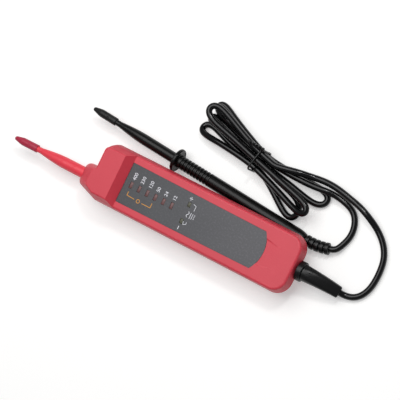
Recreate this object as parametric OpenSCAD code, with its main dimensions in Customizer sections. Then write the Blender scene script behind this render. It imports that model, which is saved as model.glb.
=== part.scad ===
// Two-pole voltage tester, in millimetres.
// A handheld body with its own probe lies beside a second probe, and a cord tied in a hank joins the two.
// The origin is the middle of the flat back, +X points along the fixed probe to its tip, and +Z is up.

/* [Body] */
// Length of the housing without its nose
body_len = 144; // [132:1:160]
// Width of the housing at the parting plane
body_w = 38; // [36:0.5:44]
// Width of the flat back that the tester lies on
back_w = 15; // [14:0.5:18]
// Height of the parting plane, and of the fixed probe's axis
split_z = 11.5; // [11:0.25:13]
// Height of the two rails beside the label
deck_z = 20; // [19:0.25:22]
// Height of the raised head at the probe end
head_z = 25.5; // [24.5:0.25:29]
// Length of the head's flat top
head_len = 16.4; // [12:0.2:18]
// Length of the slope from the head down to the label
slope_len = 4.5; // [3:0.25:6]
// Wall of the housing, measured level
wall = 2.4; // [2:0.1:2.8]
// Corner radius of the housing in plan, at the rear
rear_r = 10; // [8:0.5:12]
// Corner radius of the housing in plan, at the head
front_r = 5; // [4.8:0.1:8]

/* [Label] */
// Width of the label beside the head
label_w = 26.2; // [24:0.2:28]
// Width of the label at the rear
label_rear_w = 24.2; // [22:0.2:26]
// Length of the label's straight sides
label_len = 97; // [90:1:104]
// How far the label's rear edge bows out
label_bow = 4; // [2:0.5:6]
// Thickness of the label
label_t = 0.4; // [0.3:0.05:0.6]
// Depth of the label's face under the rails
label_sink = 0.3; // [0.2:0.05:0.5]

/* [Windows] */
// Number of voltage windows in the row
window_count = 6; // [4:1:6]
// Spacing of the voltage windows
window_pitch = 6; // [5:0.25:6.5]
// Size of a voltage window along the tester
window_len = 2; // [1.5:0.1:3]
// Size of a voltage window across the tester
window_w = 4; // [3:0.1:5]
// Distance between the two polarity windows
polarity_gap = 11; // [9:0.5:13]

/* [Fixed probe] */
// Sideways place of the fixed probe
probe_y = 7; // [5:0.25:8]
// Reach of the nose past the front of the housing
nose_len = 10.7; // [9:0.1:13]
// Width of the nose
nose_w = 15.6; // [15:0.2:16.4]
// Diameter of the probe's plastic sleeve
sleeve_d = 7.5; // [7:0.1:8]
// Length of sleeve that shows
sleeve_len = 36; // [30:1:42]
// Diameter of the metal rod
rod_d = 2; // [1.6:0.1:2.4]

/* [Tip caps] */
// Length of a tip cap
cap_len = 17.8; // [15:0.2:20]
// Diameter of a tip cap
cap_d = 5; // [4.8:0.1:5.6]
// Diameter of a cap's blunt end
cap_end_d = 2.6; // [2.4:0.1:3]

/* [Second probe] */
// Length of the front sleeve, from cap to finger guard
front_len = 47; // [42:1:52]
// Diameter of the front sleeve
front_d = 6.9; // [6.6:0.1:7.4]
// Diameter of the finger guard
guard_d = 15.2; // [14:0.2:16]
// Thickness of the finger guard
guard_t = 2.2; // [1.6:0.1:3]
// Diameter of the grip and of the handle behind it
grip_d = 8.3; // [8:0.1:8.6]
// Number of ribs on the grip
grip_ribs = 9; // [6:1:10]
// Spacing of the ribs
grip_pitch = 2.4; // [2:0.1:2.6]
// Length of the handle, from the finger guard to the bend relief
handle_len = 97; // [92:1:100]
// Length of the ringed bend relief
boot_len = 17; // [15:0.5:20]
// Diameter of the bend relief's rings
boot_d = 7.4; // [7:0.1:7.8]

/* [Lead] */
// Diameter of the test lead
cord_d = 4; // [3.6:0.1:4]
// Diameter of the cord gland's collar
gland_d = 12.4; // [12:0.1:13]
// Length of the gland's tapered tail
tail_len = 22.5; // [20:0.5:26]
// Thickness of the twist tie's wire
tie_d = 1.2; // [0.8:0.1:1.4]

/* [Hidden] */
$fn = 48;
// Overrun of every cut
over = 0.5;
// Gap between pieces that slide in or on each other
slip = 0.05;
// Gap between pieces that are laid in place
fit = 0.1;

// Places along the tester
x_rear = -body_len / 2;
x_front = body_len / 2;
x_nose = x_front + nose_len;
x_sleeve_end = x_nose + sleeve_len;
x_head = x_front - head_len;
x_label = x_head - slope_len;
x_label_rear = x_label - label_len;
label_z = deck_z - label_sink - label_t;
roof_t = 2;
roof_z = label_z - roof_t;
// How far the sides lean in from the parting plane to the back
flare = (body_w - back_w) / 2;
// How far the sides lean in from the parting plane to the rails
rail_lean = 2.2;
rim_h = 3;
// Rounding of the head's top edge
head_lean = 5;
head_round = 1.4;

// A run of an arc as points
function arc(c, r, a0, a1, n) =
    [for (i = [0:n]) let (a = a0 + (a1 - a0) * i / n) c + r * [cos(a), sin(a)]];
// The housing's outline, drawn in by a distance at the ends and at the sides
function outline(end_in, side_in, r_back, r_front) =
    let (xr = x_rear + end_in)
    let (xf = x_front - end_in)
    let (h = body_w / 2 - side_in)
    concat(
        arc([xr + r_back, -h + r_back], r_back, 180, 270, 6),
        arc([xf - r_front, -h + r_front], r_front, 270, 360, 6),
        arc([xf - r_front, h - r_front], r_front, 0, 90, 6),
        arc([xr + r_back, h - r_back], r_back, 90, 180, 6)
    );
function at_height(points, z) = [for (p = points) [p[0], p[1], z]];
// A closed skin over rings of points that all have one count
module loft(rings) {
    n = len(rings[0]);
    last = len(rings) - 1;
    polyhedron(
        points = [for (ring = rings) for (p = ring) p],
        faces = concat(
            [[for (j = [0:n - 1]) j]],
            [
                for (i = [0:last - 1]) for (j = [0:n - 1])
                each [
                    [(i + 1) * n + j, i * n + (j + 1) % n, i * n + j],
                    [(i + 1) * n + j, (i + 1) * n + (j + 1) % n, i * n + (j + 1) % n]
                ]
            ],
            [[for (j = [0:n - 1]) last * n + n - 1 - j]]
        ),
        convexity = 6
    );
}

// Tubes swept along a path, with a radius for each point
function unit(v) = v / norm(v);
function tangent(p, i) =
    i == 0 ? unit(p[1] - p[0])
    : i == len(p) - 1 ? unit(p[i] - p[i - 1])
    : unit(unit(p[i + 1] - p[i]) + unit(p[i] - p[i - 1]));
function drop(v, t) = unit(v - (v * t) * t);
// The normals are carried along the path, so that a tube doesn't twist
function normals(p, i = 1, out = []) =
    let (seed = len(out) == 0 ? [drop([0.01, 0.02, 1], tangent(p, 0))] : out)
    i >= len(p) ? seed
    : normals(p, i + 1, concat(seed, [drop(seed[i - 1], tangent(p, i))]));
function tube_rings(p, radii, sides) =
    let (ups = normals(p))
    [
        for (i = [0:len(p) - 1])
        let (t = tangent(p, i))
        let (side = cross(ups[i], t))
        [
            for (k = [0:sides - 1])
            let (a = 360 * (k + 0.5) / sides)
            p[i] + radii[i] * (cos(a) * side + sin(a) * ups[i])
        ]
    ];
module tube(p, radii, sides) {
    loft(tube_rings(p, radii, sides));
}
function same(p, r) = [for (q = p) r];
// A smooth curve through the points of a route, in a number of steps for each stretch
function curve_at(a, b, c, d, t) =
    (2 * b + (c - a) * t + (2 * a - 5 * b + 4 * c - d) * t * t + (3 * b - a - 3 * c + d) * t * t * t) / 2;
function smooth(p, steps) =
    let (last = len(p) - 1)
    concat(
        [
            for (i = [0:last - 1]) for (k = [0:steps - 1])
            curve_at(p[max(i - 1, 0)], p[i], p[i + 1], p[min(i + 2, last)], k / steps)
        ],
        [p[last]]
    );

// Housing
nose_taper = 5.7;
nose_y0 = probe_y - nose_w / 2;
nose_y1 = probe_y + nose_w / 2;
// The front: round at the far corner, then the nose, then straight back to the near side
function front_run(end_in, side_in, nose_in) =
    let (xf = x_front - end_in)
    let (h = body_w / 2 - side_in)
    let (xn = max(x_nose - nose_in, xf + over))
    let (r = front_r - side_in / 2)
    let (rn = min(nose_w / 4, (xn - xf) * 0.9))
    let (near = nose_y1 - side_in / 2 - rn)
    concat(
        arc([xf - r, -h + r], r, 270, 360, 6),
        [[xf, nose_y0 + side_in / 4]],
        arc([xn - rn, nose_y0 + side_in / 4 + rn], rn, 270, 360, 5),
        arc([xn - rn, near], rn, 0, 75, 5),
        [[x_front - nose_taper, h]]
    );
// A ring of the upper shell behind the head: its height, and how far its ends and sides lean in
function rail_ring(g) =
    let (h = body_w / 2 - g[2])
    let (xr = x_rear + g[1])
    let (r = rear_r - g[1])
    at_height(
        concat(
            arc([xr + r, -h + r], r, 180, 270, 6),
            [[x_label, -h], [x_label, h]],
            arc([xr + r, h - r], r, 90, 180, 6)
        ),
        g[0]
    );
// A ring of the head and the nose, whose rear edge climbs the slope: also how far the nose leans in
function head_ring(g) =
    let (rise = max(0, g[0] - deck_z) / (head_z - deck_z))
    let (h = body_w / 2 - g[2])
    let (x0 = x_label + slope_len * rise)
    at_height(concat([[x0, -h]], front_run(g[1], g[2], g[3]), [[x0, h]]), g[0]);
function lower_ring(z, inset, r_in) =
    let (lean = flare * (split_z - z) / split_z)
    at_height(
        outline(lean + inset, lean + inset, rear_r - r_in - lean / 2, front_r - r_in - lean / 3), z
    );
// Underside of the nose, which swells out of the flared front
function nose_ring(z, nose_in, side_in) =
    let (xn = x_nose - nose_in)
    let (r = nose_w / 4)
    let (h = body_w / 2 - flare * (split_z - z) / split_z - slip)
    at_height(
        concat(
            [[sleeve_root, nose_y0 + side_in]],
            arc([xn - r, nose_y0 + side_in + r], r, 270, 360, 5),
            arc([xn - r, nose_y1 - side_in - r], r, 0, 75, 5),
            [[x_front - nose_taper, h], [sleeve_root, h]]
        ),
        z
    );

// Screws, from the back through the lower shell into the upper one
screw_d = 2.2;
screw_head_d = 4.2;
screw_head_t = 1.3;
screw_len = 13.5;
tower_d = 5.6;
screw_y = back_w / 2 - screw_head_d / 2 - over;
screw_x = x_front - flare - tower_d / 2 - head_round;
screw_places = [for (x = [-screw_x, screw_x - over]) for (y = [-screw_y, screw_y]) [x, y]];

// Gland seat in the rear wall
gland_neck_d = 7;
gland_rim_d = 10;
gland_rim_t = 1.5;
gland_stub = 2;
housing_len = 6;
gland_in = x_rear + wall + fit;
// Sleeve seat in the nose
sleeve_rim_d = 10.4;
sleeve_rim_t = 2;
sleeve_rim_x = x_front - sleeve_rim_t;
sleeve_root = sleeve_rim_x - nose_len / 2;

// Side seals
seal_w = 0.8;
seal_y = body_w / 2 - wall / 2;
seal_x = x_front - 3 * nose_taper - rear_r / 2;

// Board and what stands on it
board_t = 1.6;
board_z = 8.5;
board_gap = 1.1;
board_w = body_w - 2 * (wall + flare * (split_z - board_z) / split_z + board_gap);
board_top = board_z + board_t;
board_x0 = -screw_x + tower_d / 2 + fit * 5;
board_x1 = screw_x - over - tower_d / 2 - fit * 5;
rib_t = 1.6;
rib_places = [board_x0 + board_w / 2, board_x1 - board_w / 2];

// Windows and lights
window_x0 = x_label - window_pitch * 0.8;
polarity_x = window_x0 - window_pitch * 6.7;
polarity_w = window_w * 0.75;
lens_sink = label_sink / 6;
shield_x1 = window_x0 + window_pitch / 2 + wall / 4;
shield_x0 = polarity_x - window_pitch / 2;
shield_w = polarity_gap + polarity_w + wall;
shield_cap = 1;
led_t = 0.8;
voltage_places = [for (i = [0:window_count - 1]) [window_x0 - i * window_pitch, 0]];
polarity_places = [for (s = [-1, 1]) [polarity_x, s * polarity_gap / 2]];

module slab(place, size, z0, z1) {
    translate([place[0] - size[0] / 2, place[1] - size[1] / 2, z0])
        cube([size[0], size[1], z1 - z0]);
}
module rod(x0, x1, d, y = 0, z = split_z) {
    translate([x0, y, z])
        rotate([0, 90, 0])
            cylinder(h = x1 - x0, d = d);
}
// Seats that both shells share: the fixed probe in the nose, and the gland in the rear wall
module seats() {
    rod(sleeve_rim_x - over, x_nose + over, sleeve_d + 2 * fit, probe_y);
    rod(sleeve_rim_x - fit, x_front + fit, sleeve_rim_d + 2 * fit, probe_y);
    rod(sleeve_root - over, sleeve_rim_x, sleeve_d + 2 * fit, probe_y);
    rod(x_rear - over, x_rear + housing_len + over, gland_neck_d + 2 * fit);
    rod(gland_in - fit, gland_in + gland_rim_t + fit, gland_rim_d + 2 * fit);
}
module label_outline(grow) {
    // The rear edge is an arc through the two corners and the middle of the bow
    half = label_rear_w / 2 + grow;
    bow_r = (half * half + label_bow * label_bow) / (2 * label_bow);
    sweep = asin(half / bow_r);
    polygon(concat(
        [[x_label + grow, -label_w / 2 - grow], [x_label + grow, label_w / 2 + grow]],
        arc([x_label_rear - label_bow - grow + bow_r, 0], bow_r, 180 - sweep, 180 + sweep, 10)
    ));
}
module channel() {
    // The label's bed, with a shallow ramp behind it that rises to the rear edge of the rails
    translate([0, 0, label_z])
        linear_extrude(deck_z - label_z + over)
            label_outline(fit);
    ramp_x0 = x_label_rear - label_bow / 2;
    ramp_x1 = ramp_x0 - label_bow * 3.5;
    half = label_rear_w / 3;
    intersection() {
        translate([0, 0, split_z])
            linear_extrude(deck_z)
                polygon([
                    [ramp_x0, -half], [ramp_x0, half], [ramp_x1, half * 0.75], [ramp_x1, -half * 0.75]
                ]);
        translate([0, half, 0])
            rotate([90, 0, 0])
                linear_extrude(2 * half)
                    polygon([
                        [ramp_x0 + over, deck_z + over],
                        [ramp_x0 + over, label_z + label_t],
                        [ramp_x1, deck_z],
                        [ramp_x1, deck_z + over]
                    ]);
    }
}
module upper_outer() {
    lean = rail_lean / 2;
    loft([
        for (g = [
            [split_z - over, 0, 0],
            [split_z, 0, 0],
            [split_z + rim_h, lean / 3, lean / 3],
            [deck_z - rim_h / 2, lean, lean],
            [deck_z - rim_h / 6, 1.7 * lean, 1.7 * lean],
            [deck_z, 2.5 * lean, 2.5 * lean]
        ])
        rail_ring(g)
    ]);
    loft([
        for (g = [
            [split_z - over, 0, 0, 0],
            [split_z, 0, 0, 0],
            [split_z + rim_h, lean / 3, lean / 3, nose_len / 16],
            [deck_z - rim_h / 2, lean, lean, nose_len / 3],
            [deck_z, 1.1 * lean, 1.4 * lean, nose_len / 2],
            [head_z - head_round, 1.4 * lean, head_lean - head_round, nose_len],
            [head_z, 1.4 * lean + head_round, head_lean, nose_len]
        ])
        head_ring(g)
    ]);
}
module prism(points, z0, z1) {
    translate([0, 0, z0])
        linear_extrude(z1 - z0)
            polygon(points);
}
module upper_hollow() {
    prism(outline(wall, wall, rear_r - wall, front_r - wall), split_z - over, split_z + rim_h);
    prism(
        outline(wall + rail_lean / 3, wall + rail_lean / 3, rear_r - wall, front_r - wall),
        split_z + rim_h / 2, roof_z
    );
    inner_w = body_w - 2 * wall - 2 * head_lean + rail_lean;
    inner_x0 = x_head + wall;
    inner_x1 = x_front - 2 * wall;
    slab([(inner_x0 + inner_x1) / 2, 0], [inner_x1 - inner_x0, inner_w], split_z + rim_h / 2, head_z - wall);
}
module upper_shell() {
    color("crimson")
    difference() {
        union() {
            difference() {
                upper_outer();
                // The skins run past the parting plane, and this levels them
                slab([0, 0], [2 * body_len, 2 * body_w], split_z - 2 * over, split_z);
                upper_hollow();
            }
            for (p = screw_places)
                translate([p[0], p[1], split_z])
                    cylinder(h = roof_z + wall / 4 - split_z, d = tower_d);
            translate([x_rear + wall / 2, -gland_rim_d / 2 - wall / 2, split_z])
                cube([housing_len - wall / 2, gland_rim_d + wall, roof_z - split_z + wall / 4]);
            translate([sleeve_root, probe_y - nose_w / 2 + wall / 2, split_z])
                cube([x_front - sleeve_root, nose_w - wall, roof_z - split_z]);
        }
        channel();
        seats();
        for (p = screw_places)
            translate([p[0], p[1], split_z - over])
                cylinder(h = screw_len - split_z + screw_head_t + 2 * over, d = screw_d + 2 * slip);
        for (p = voltage_places)
            slab(p, [window_len + 2 * fit, window_w + 2 * fit], roof_z - over, label_z + over);
        for (p = polarity_places)
            slab(p, [window_len + 2 * fit, polarity_w + 2 * fit], roof_z - over, label_z + over);
    }
}
module lower_shell() {
    color("firebrick")
    difference() {
        union() {
            difference() {
                loft([lower_ring(0, 0, 0), lower_ring(split_z / 2, 0, 0), lower_ring(split_z, 0, 0)]);
                loft([
                    lower_ring(wall, wall, wall / 2),
                    lower_ring(split_z / 2, wall, wall / 2),
                    at_height(outline(wall, wall, rear_r - wall, front_r - wall), split_z),
                    at_height(outline(wall, wall, rear_r - wall, front_r - wall), split_z + over)
                ]);
            }
            loft([
                nose_ring(split_z - sleeve_d / 2 - wall, nose_len * 0.6, wall),
                nose_ring(split_z - sleeve_d / 2, nose_len / 5, wall / 3),
                nose_ring(split_z - wall / 2, head_round / 3, 0),
                nose_ring(split_z, 0, 0)
            ]);
            for (p = screw_places)
                translate([p[0], p[1], wall / 2])
                    cylinder(h = split_z - wall / 2, d = tower_d);
            difference() {
                rod(x_rear, x_rear + housing_len, gland_d);
                translate([x_rear - over, -gland_d, split_z])
                    cube([housing_len + 2 * over, 2 * gland_d, gland_d]);
            }
            for (x = rib_places)
                translate([x - rib_t / 2, -back_w / 2, wall / 2])
                    cube([rib_t, back_w, board_z - wall / 2]);
        }
        seats();
        for (p = screw_places)
            translate([p[0], p[1], -over]) {
                cylinder(h = split_z + 2 * over, d = screw_d + 4 * slip);
                cylinder(h = over + fit + screw_head_t + slip, d = screw_head_d + 4 * slip);
            }
        for (s = [-1, 1])
            slab([0, s * seal_y], [2 * seal_x + 2 * fit, seal_w + 2 * fit], split_z - seal_w, split_z + over);
    }
}
module shell_seals() {
    color("dimgray")
    for (s = [-1, 1])
        slab([0, s * seal_y], [2 * seal_x, seal_w], split_z - seal_w, split_z);
}
module case_screws() {
    color("silver")
    for (p = screw_places)
        translate([p[0], p[1], fit])
            difference() {
                union() {
                    cylinder(h = screw_head_t, d = screw_head_d);
                    cylinder(h = screw_len, d = screw_d);
                }
                for (a = [0, 90])
                    rotate([0, 0, a])
                        translate([-screw_d / 2, -seal_w / 4, -over])
                            cube([screw_d, seal_w / 2, screw_head_t / 2 + over]);
            }
}
module face_label() {
    color("dimgray")
    difference() {
        translate([0, 0, label_z])
            linear_extrude(label_t)
                label_outline(0);
        for (p = voltage_places)
            slab(p, [window_len + 2 * fit, window_w + 2 * fit], label_z - over, deck_z);
        for (p = polarity_places)
            slab(p, [window_len + 2 * fit, polarity_w + 2 * fit], label_z - over, deck_z);
    }
}
module voltage_lenses() {
    color("rosybrown")
    for (p = voltage_places)
        slab(p, [window_len, window_w], roof_z - shield_cap, label_z + label_t - lens_sink);
}
module polarity_lenses() {
    color("darkkhaki")
    for (p = polarity_places)
        slab(p, [window_len, polarity_w], roof_z - shield_cap, label_z + label_t - lens_sink);
}
module light_shield() {
    color("black")
    difference() {
        slab([(shield_x0 + shield_x1) / 2, 0], [shield_x1 - shield_x0, shield_w], board_top, roof_z);
        for (p = voltage_places) {
            slab(p, [window_len + 2 * fit, window_w + 2 * fit], board_top, roof_z + over);
            slab(p, [window_pitch - wall / 2, window_w + wall / 2], board_top - over, roof_z - shield_cap);
        }
        for (p = polarity_places) {
            slab(p, [window_len + 2 * fit, polarity_w + 2 * fit], board_top, roof_z + over);
            slab(p, [window_pitch - wall / 2, polarity_w + wall / 2], board_top - over, roof_z - shield_cap);
        }
    }
}
module circuit_board() {
    color("darkgreen")
    translate([board_x0, -board_w / 2, board_z])
        cube([board_x1 - board_x0, board_w, board_t]);
}
module led(p) {
    slab(p, [window_len * 1.4, window_w * 0.7], board_top, board_top + led_t);
    translate([p[0], p[1], board_top])
        cylinder(h = 2 * led_t, d = window_len);
}
module voltage_leds() {
    color("mistyrose")
    for (p = voltage_places)
        led(p);
}
module polarity_leds() {
    color("honeydew")
    for (p = polarity_places)
        led(p);
}
resistor_d = 3.2;
resistor_len = 9;
resistor_gap = 0.6;
resistor_pitch = resistor_d + resistor_gap;
resistor_count = 4;
first_resistor_x = shield_x0 - resistor_d / 2 - 2 * resistor_gap;
module input_resistors() {
    color("lightsteelblue")
    for (i = [0:resistor_count - 1])
        translate([first_resistor_x - i * resistor_pitch, resistor_len / 2, board_top + resistor_d / 2])
            rotate([90, 0, 0])
                cylinder(h = resistor_len, d = resistor_d);
}
thermistor_d = 6.2;
thermistor_t = 3;
thermistor_x = first_resistor_x - resistor_count * resistor_pitch;
module thermistors() {
    color("darkorange")
    for (y = [-board_w / 4, board_w / 4])
        rod(thermistor_x - thermistor_t, thermistor_x, thermistor_d, y, board_top + thermistor_d / 2);
}
diode_d = 1.8;
diode_len = 4;
module bridge_diodes() {
    color("black")
    for (i = [0:3])
        translate([first_resistor_x - i * resistor_pitch, board_w / 2 - fit, board_top + diode_d / 2])
            rotate([90, 0, 0])
                cylinder(h = diode_len, d = diode_d);
}
chip_len = 7;
chip_w = 5;
chip_t = 1.6;
chip_x = thermistor_x - thermistor_t - resistor_gap - chip_len / 2;
module controller_chip() {
    color("black")
    slab([chip_x, board_w / 4], [chip_len, chip_w], board_top, board_top + chip_t);
}
capacitor_d = 5;
capacitor_len = 7;
module capacitor() {
    color("navy")
    rod(chip_x - capacitor_len / 2, chip_x + capacitor_len / 2, capacitor_d, -board_w / 4,
        board_top + capacitor_d / 2);
}
wire_d = 1.4;
module live_wire() {
    // From the rod's end, past the screw tower, down to a pad at the front of the board
    color("red")
    tube(
        smooth([
            [sleeve_root - wire_d, probe_y, split_z],
            [sleeve_root - 2 * wire_d, probe_y + wire_d, split_z],
            [screw_x, screw_y + tower_d / 2 + 2 * wire_d, split_z],
            [board_x1, screw_y + tower_d / 2 + 2 * wire_d, split_z],
            [board_x1 - 2 * wire_d, shield_w / 2 + wire_d, board_top + wire_d / 2]
        ], 3),
        [for (i = [0:12]) wire_d / 2], 8
    );
}
module return_wire() {
    // From the gland's inner end, between the two rear screw towers, to a pad on the board
    color("black")
    tube(
        smooth([
            [gland_in + gland_rim_t + gland_stub, 0, split_z],
            [gland_in + gland_rim_t + gland_stub + 2 * wire_d, 0, split_z],
            [board_x0, 0, split_z],
            [board_x0 + 2 * wire_d, 0, board_top + wire_d / 2]
        ], 3),
        [for (i = [0:9]) wire_d / 2], 8
    );
}

// Probes: profiles run along the axis, with the radius beside it, and are turned about it
neck_d = 3.8;
neck_len = 3;
ogive_len = 20;
socket_len = 3;
cap_cone = 6;
cap_sink = 1.8;
// A round front that swells from the neck to the full diameter
function ogive(x, r0, r1, length, n) =
    [for (i = [0:n]) let (t = i / n) [r0 + (r1 - r0) * sin(90 * t), x - length * t]];
module turned(points, z0 = 0) {
    rotate([0, 90, 0])
        rotate_extrude()
            translate([0, z0])
                polygon(points);
}
module front_shape(length, d, root) {
    turned(concat(
        [[rod_d / 2 + slip, -root], [rod_d / 2 + slip, length + socket_len]],
        [[neck_d / 2, length + socket_len]],
        ogive(length - neck_len, neck_d / 2, d / 2, ogive_len, 8),
        [[d / 2, -root]]
    ));
}
module cap_shape() {
    // The bore hugs the rod, and a wider mouth goes over the sleeve's neck
    difference() {
        turned([
            [0, 0], [cap_d / 2, 0], [cap_d / 2, cap_len - cap_cone],
            [cap_end_d / 2, cap_len - cap_end_d / 4], [cap_end_d / 4, cap_len], [0, cap_len]
        ]);
        rod(-over, cap_len - cap_sink, rod_d + 2 * slip, 0, 0);
        rod(-over, socket_len + slip, neck_d + 4 * slip, 0, 0);
    }
}
rod_reach = cap_len - cap_sink - fit;
module live_probe_sleeve() {
    color("orangered")
    translate([0, probe_y, split_z]) {
        translate([x_nose, 0, 0])
            front_shape(sleeve_len, sleeve_d, x_nose - sleeve_root);
        difference() {
            rod(sleeve_rim_x, x_front, sleeve_rim_d, 0, 0);
            rod(sleeve_rim_x - over, x_front + over, sleeve_d - wall, 0, 0);
        }
    }
}
module live_probe_rod() {
    color("gold")
    rod(sleeve_root - wire_d / 2, x_sleeve_end + rod_reach, rod_d, probe_y);
}
module live_tip_cap() {
    color("crimson")
    translate([x_sleeve_end, probe_y, split_z])
        cap_shape();
}

// Second probe: its own frame has the guard's front face at the origin and the tip along +X
probe_pitch = 2.1;
probe_heading = -5.03;
probe_x = 31.8;
probe_side = -26.1;
guard_r = guard_d / 2;
probe_z = guard_r * cos(probe_pitch) + guard_t * sin(probe_pitch) + slip;
module second_frame() {
    translate([probe_x, probe_side, probe_z])
        rotate([0, 0, probe_heading])
            rotate([0, -probe_pitch, 0])
                children();
}
function second_at(x) =
    [probe_x, probe_side, probe_z]
    + x * [cos(probe_pitch) * cos(probe_heading), cos(probe_pitch) * sin(probe_heading), sin(probe_pitch)];
core_d = 4.6;
hub_len = 2.5;
hub_r = grip_d / 2 + slip;
rib_depth = 0.7;
crimp_d = 3.2;
crimp_len = 10;
front_root = 12;
handle_end_d = 6.4;
handle_round = 4;
module second_probe_sleeve() {
    color([0.09, 0.09, 0.08])
    second_frame()
        front_shape(front_len, front_d, 0);
}
module second_probe_rod() {
    color("gold")
    second_frame()
        rod(-front_root - crimp_len / 2 + slip, front_len + rod_reach, rod_d, 0, 0);
}
module second_tip_cap() {
    color([0.12, 0.12, 0.11])
    second_frame()
        translate([front_len, 0, 0])
            cap_shape();
}
module second_probe_handle() {
    rib_x0 = -guard_t - hub_len;
    rib_x1 = rib_x0 - grip_ribs * grip_pitch;
    low = grip_d / 2 - rib_depth;
    color([0.07, 0.07, 0.07])
    second_frame()
        difference() {
            turned(concat(
                [[0, -handle_len], [0, 0], [guard_r - guard_t / 4, 0], [guard_r, -guard_t / 4]],
                [[guard_r, -guard_t * 0.75], [guard_r - guard_t / 4, -guard_t], [hub_r, -guard_t], [hub_r, rib_x0]],
                [
                    for (i = [0:grip_ribs - 1])
                    let (x = rib_x0 - i * grip_pitch)
                    each [
                        [low, x],
                        [low, x - grip_pitch * 0.3],
                        [grip_d / 2, x - grip_pitch * 0.5],
                        [grip_d / 2, x - grip_pitch * 0.9]
                    ]
                ],
                [[grip_d / 2, rib_x1], [grip_d / 2, -handle_len + handle_round]],
                [[handle_end_d / 2, -handle_len]]
            ));
            rod(-front_root, over, rod_d + 2 * slip, 0, 0);
            rod(-handle_len - over, -front_root + slip, core_d, 0, 0);
        }
}
module probe_crimp() {
    color("silver")
    second_frame()
        difference() {
            rod(-front_root - crimp_len + slip, -front_root, crimp_d, 0, 0);
            rod(-front_root - crimp_len / 2, over, rod_d + 2 * slip, 0, 0);
            rod(-front_root - crimp_len - over, -front_root - crimp_len / 2, wire_d + 2 * slip, 0, 0);
        }
}
module probe_inner_wire() {
    color("dimgray")
    second_frame() {
        rod(-front_root - crimp_len, -front_root - crimp_len / 2 - slip, wire_d, 0, 0);
        rod(-handle_len + fit, -front_root - crimp_len, core_d - 2 * fit, 0, 0);
    }
}

// Bend relief of the second probe: rings on a core that bends away from the body
boot_rings = 5;
boot_core_d = 5.2;
boot_side = 2.9;
boot_z = boot_d / 2 + fit;
boot_start = second_at(-handle_len - fit);
boot_steer = second_at(-handle_len - fit - boot_len / 2);
boot_end = [
    boot_start[0] - boot_len * 0.96,
    boot_start[1] - boot_side / 2 - fit,
    boot_z
];
function bend(t) = (1 - t) * (1 - t) * boot_start + 2 * t * (1 - t) * boot_steer + t * t * boot_end;
// Each ring of the boot is a step up and a step down in the radius along the bend
boot_steps = [for (i = [0:boot_rings - 1]) for (s = [0.15, 0.3, 0.75, 0.9]) (i + s) / boot_rings];
boot_path = concat([bend(0)], [for (t = boot_steps) bend(t)], [bend(1)]);
boot_radii = concat(
    [boot_core_d / 2],
    [for (i = [0:boot_rings - 1]) each [boot_core_d / 2, boot_d / 2, boot_d / 2, boot_core_d / 2]],
    [boot_core_d / 2]
);
module second_probe_boot() {
    color([0.08, 0.08, 0.08])
    tube(boot_path, boot_radii, 16);
}

// Cord gland: a rim held by the shells, a collar outside, and a tail that droops towards the table
collar_t = 3.4;
tail_d = 10.4;
tail_end_d = 7.4;
tail_side = 1.3;
tail_low = tail_end_d / 2 + wire_d / 4;
tail_x = x_rear - collar_t - fit;
function tail_at(t) = [
    tail_x - tail_len * t,
    tail_side * t * t,
    split_z - (split_z - tail_low) * pow(t, 1.5)
];
tail_path = [for (i = [0:9]) tail_at(i / 9)];
module cord_gland() {
    color([0.07, 0.07, 0.08]) {
        rod(tail_x, x_rear - fit, gland_d);
        rod(x_rear - fit - over, gland_in + over, gland_neck_d);
        rod(gland_in, gland_in + gland_rim_t, gland_rim_d);
        rod(gland_in + gland_rim_t / 2, gland_in + gland_rim_t + gland_stub, gland_neck_d - 1.2 * slip);
        tube(
            concat([tail_path[0] + [over, 0, 0]], tail_path),
            concat([tail_d / 2], [for (i = [0:9]) (tail_d + (tail_end_d - tail_d) * i / 9) / 2]), 20
        );
    }
}

// Hank: its frame has the tied waist at the origin and its long axis along +s
cord_r = cord_d / 2;
hank_at = [-17.8, -47.6];
hank_turn = -14.8;
cord_step = cord_d + 0.7;
waist_low = cord_r + tie_d + fit;
waist_half = 5;
lead_out = 7;
function waist(c, r) = [c * cord_step, waist_low + r * cord_step];
// Columns and rows of the eight strands in the tie, in the order in which the cord goes through it
strands = [
    waist(-1, 2), waist(0, 2), waist(1, 1), waist(1, 0),
    waist(0, 1), waist(0, 0), waist(-1, 0), waist(-1, 1)
];
// Loops in order, left and right in turn: heading, length, width, roll and height of the far end
left_loops = [
    [-4.4, 39.3, 5.9, 10, 15.4], [3.7, 39.8, 7.3, 18, 2.5], [-0.6, 39, 5.1, 50, 3.9],
    [-5.5, 40.5, 5.6, 18, 2.9]
];
right_loops = [
    [2.2, 39.7, 3.8, -10, 12.2], [11.4, 34.8, 9.7, -12, 4.1], [-7.5, 43, 6.9, 1, 2]
];
loop_steps = 12;
// Brings the widest place of a loop to its stated width
loop_bulge = 0.7;
// A narrow loop stays shut for longer, so that every tip comes out about as round as its loop is wide
tip_share = 3;
tip_least = 0.35;
function mix(a, b, t) = a + (b - a) * t;
function loop_opening(a, b, g) = min(1, max(tip_least, tip_share * (g[2] + abs(b[0] - a[0]) * 5 / 8) / g[1]));
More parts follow.
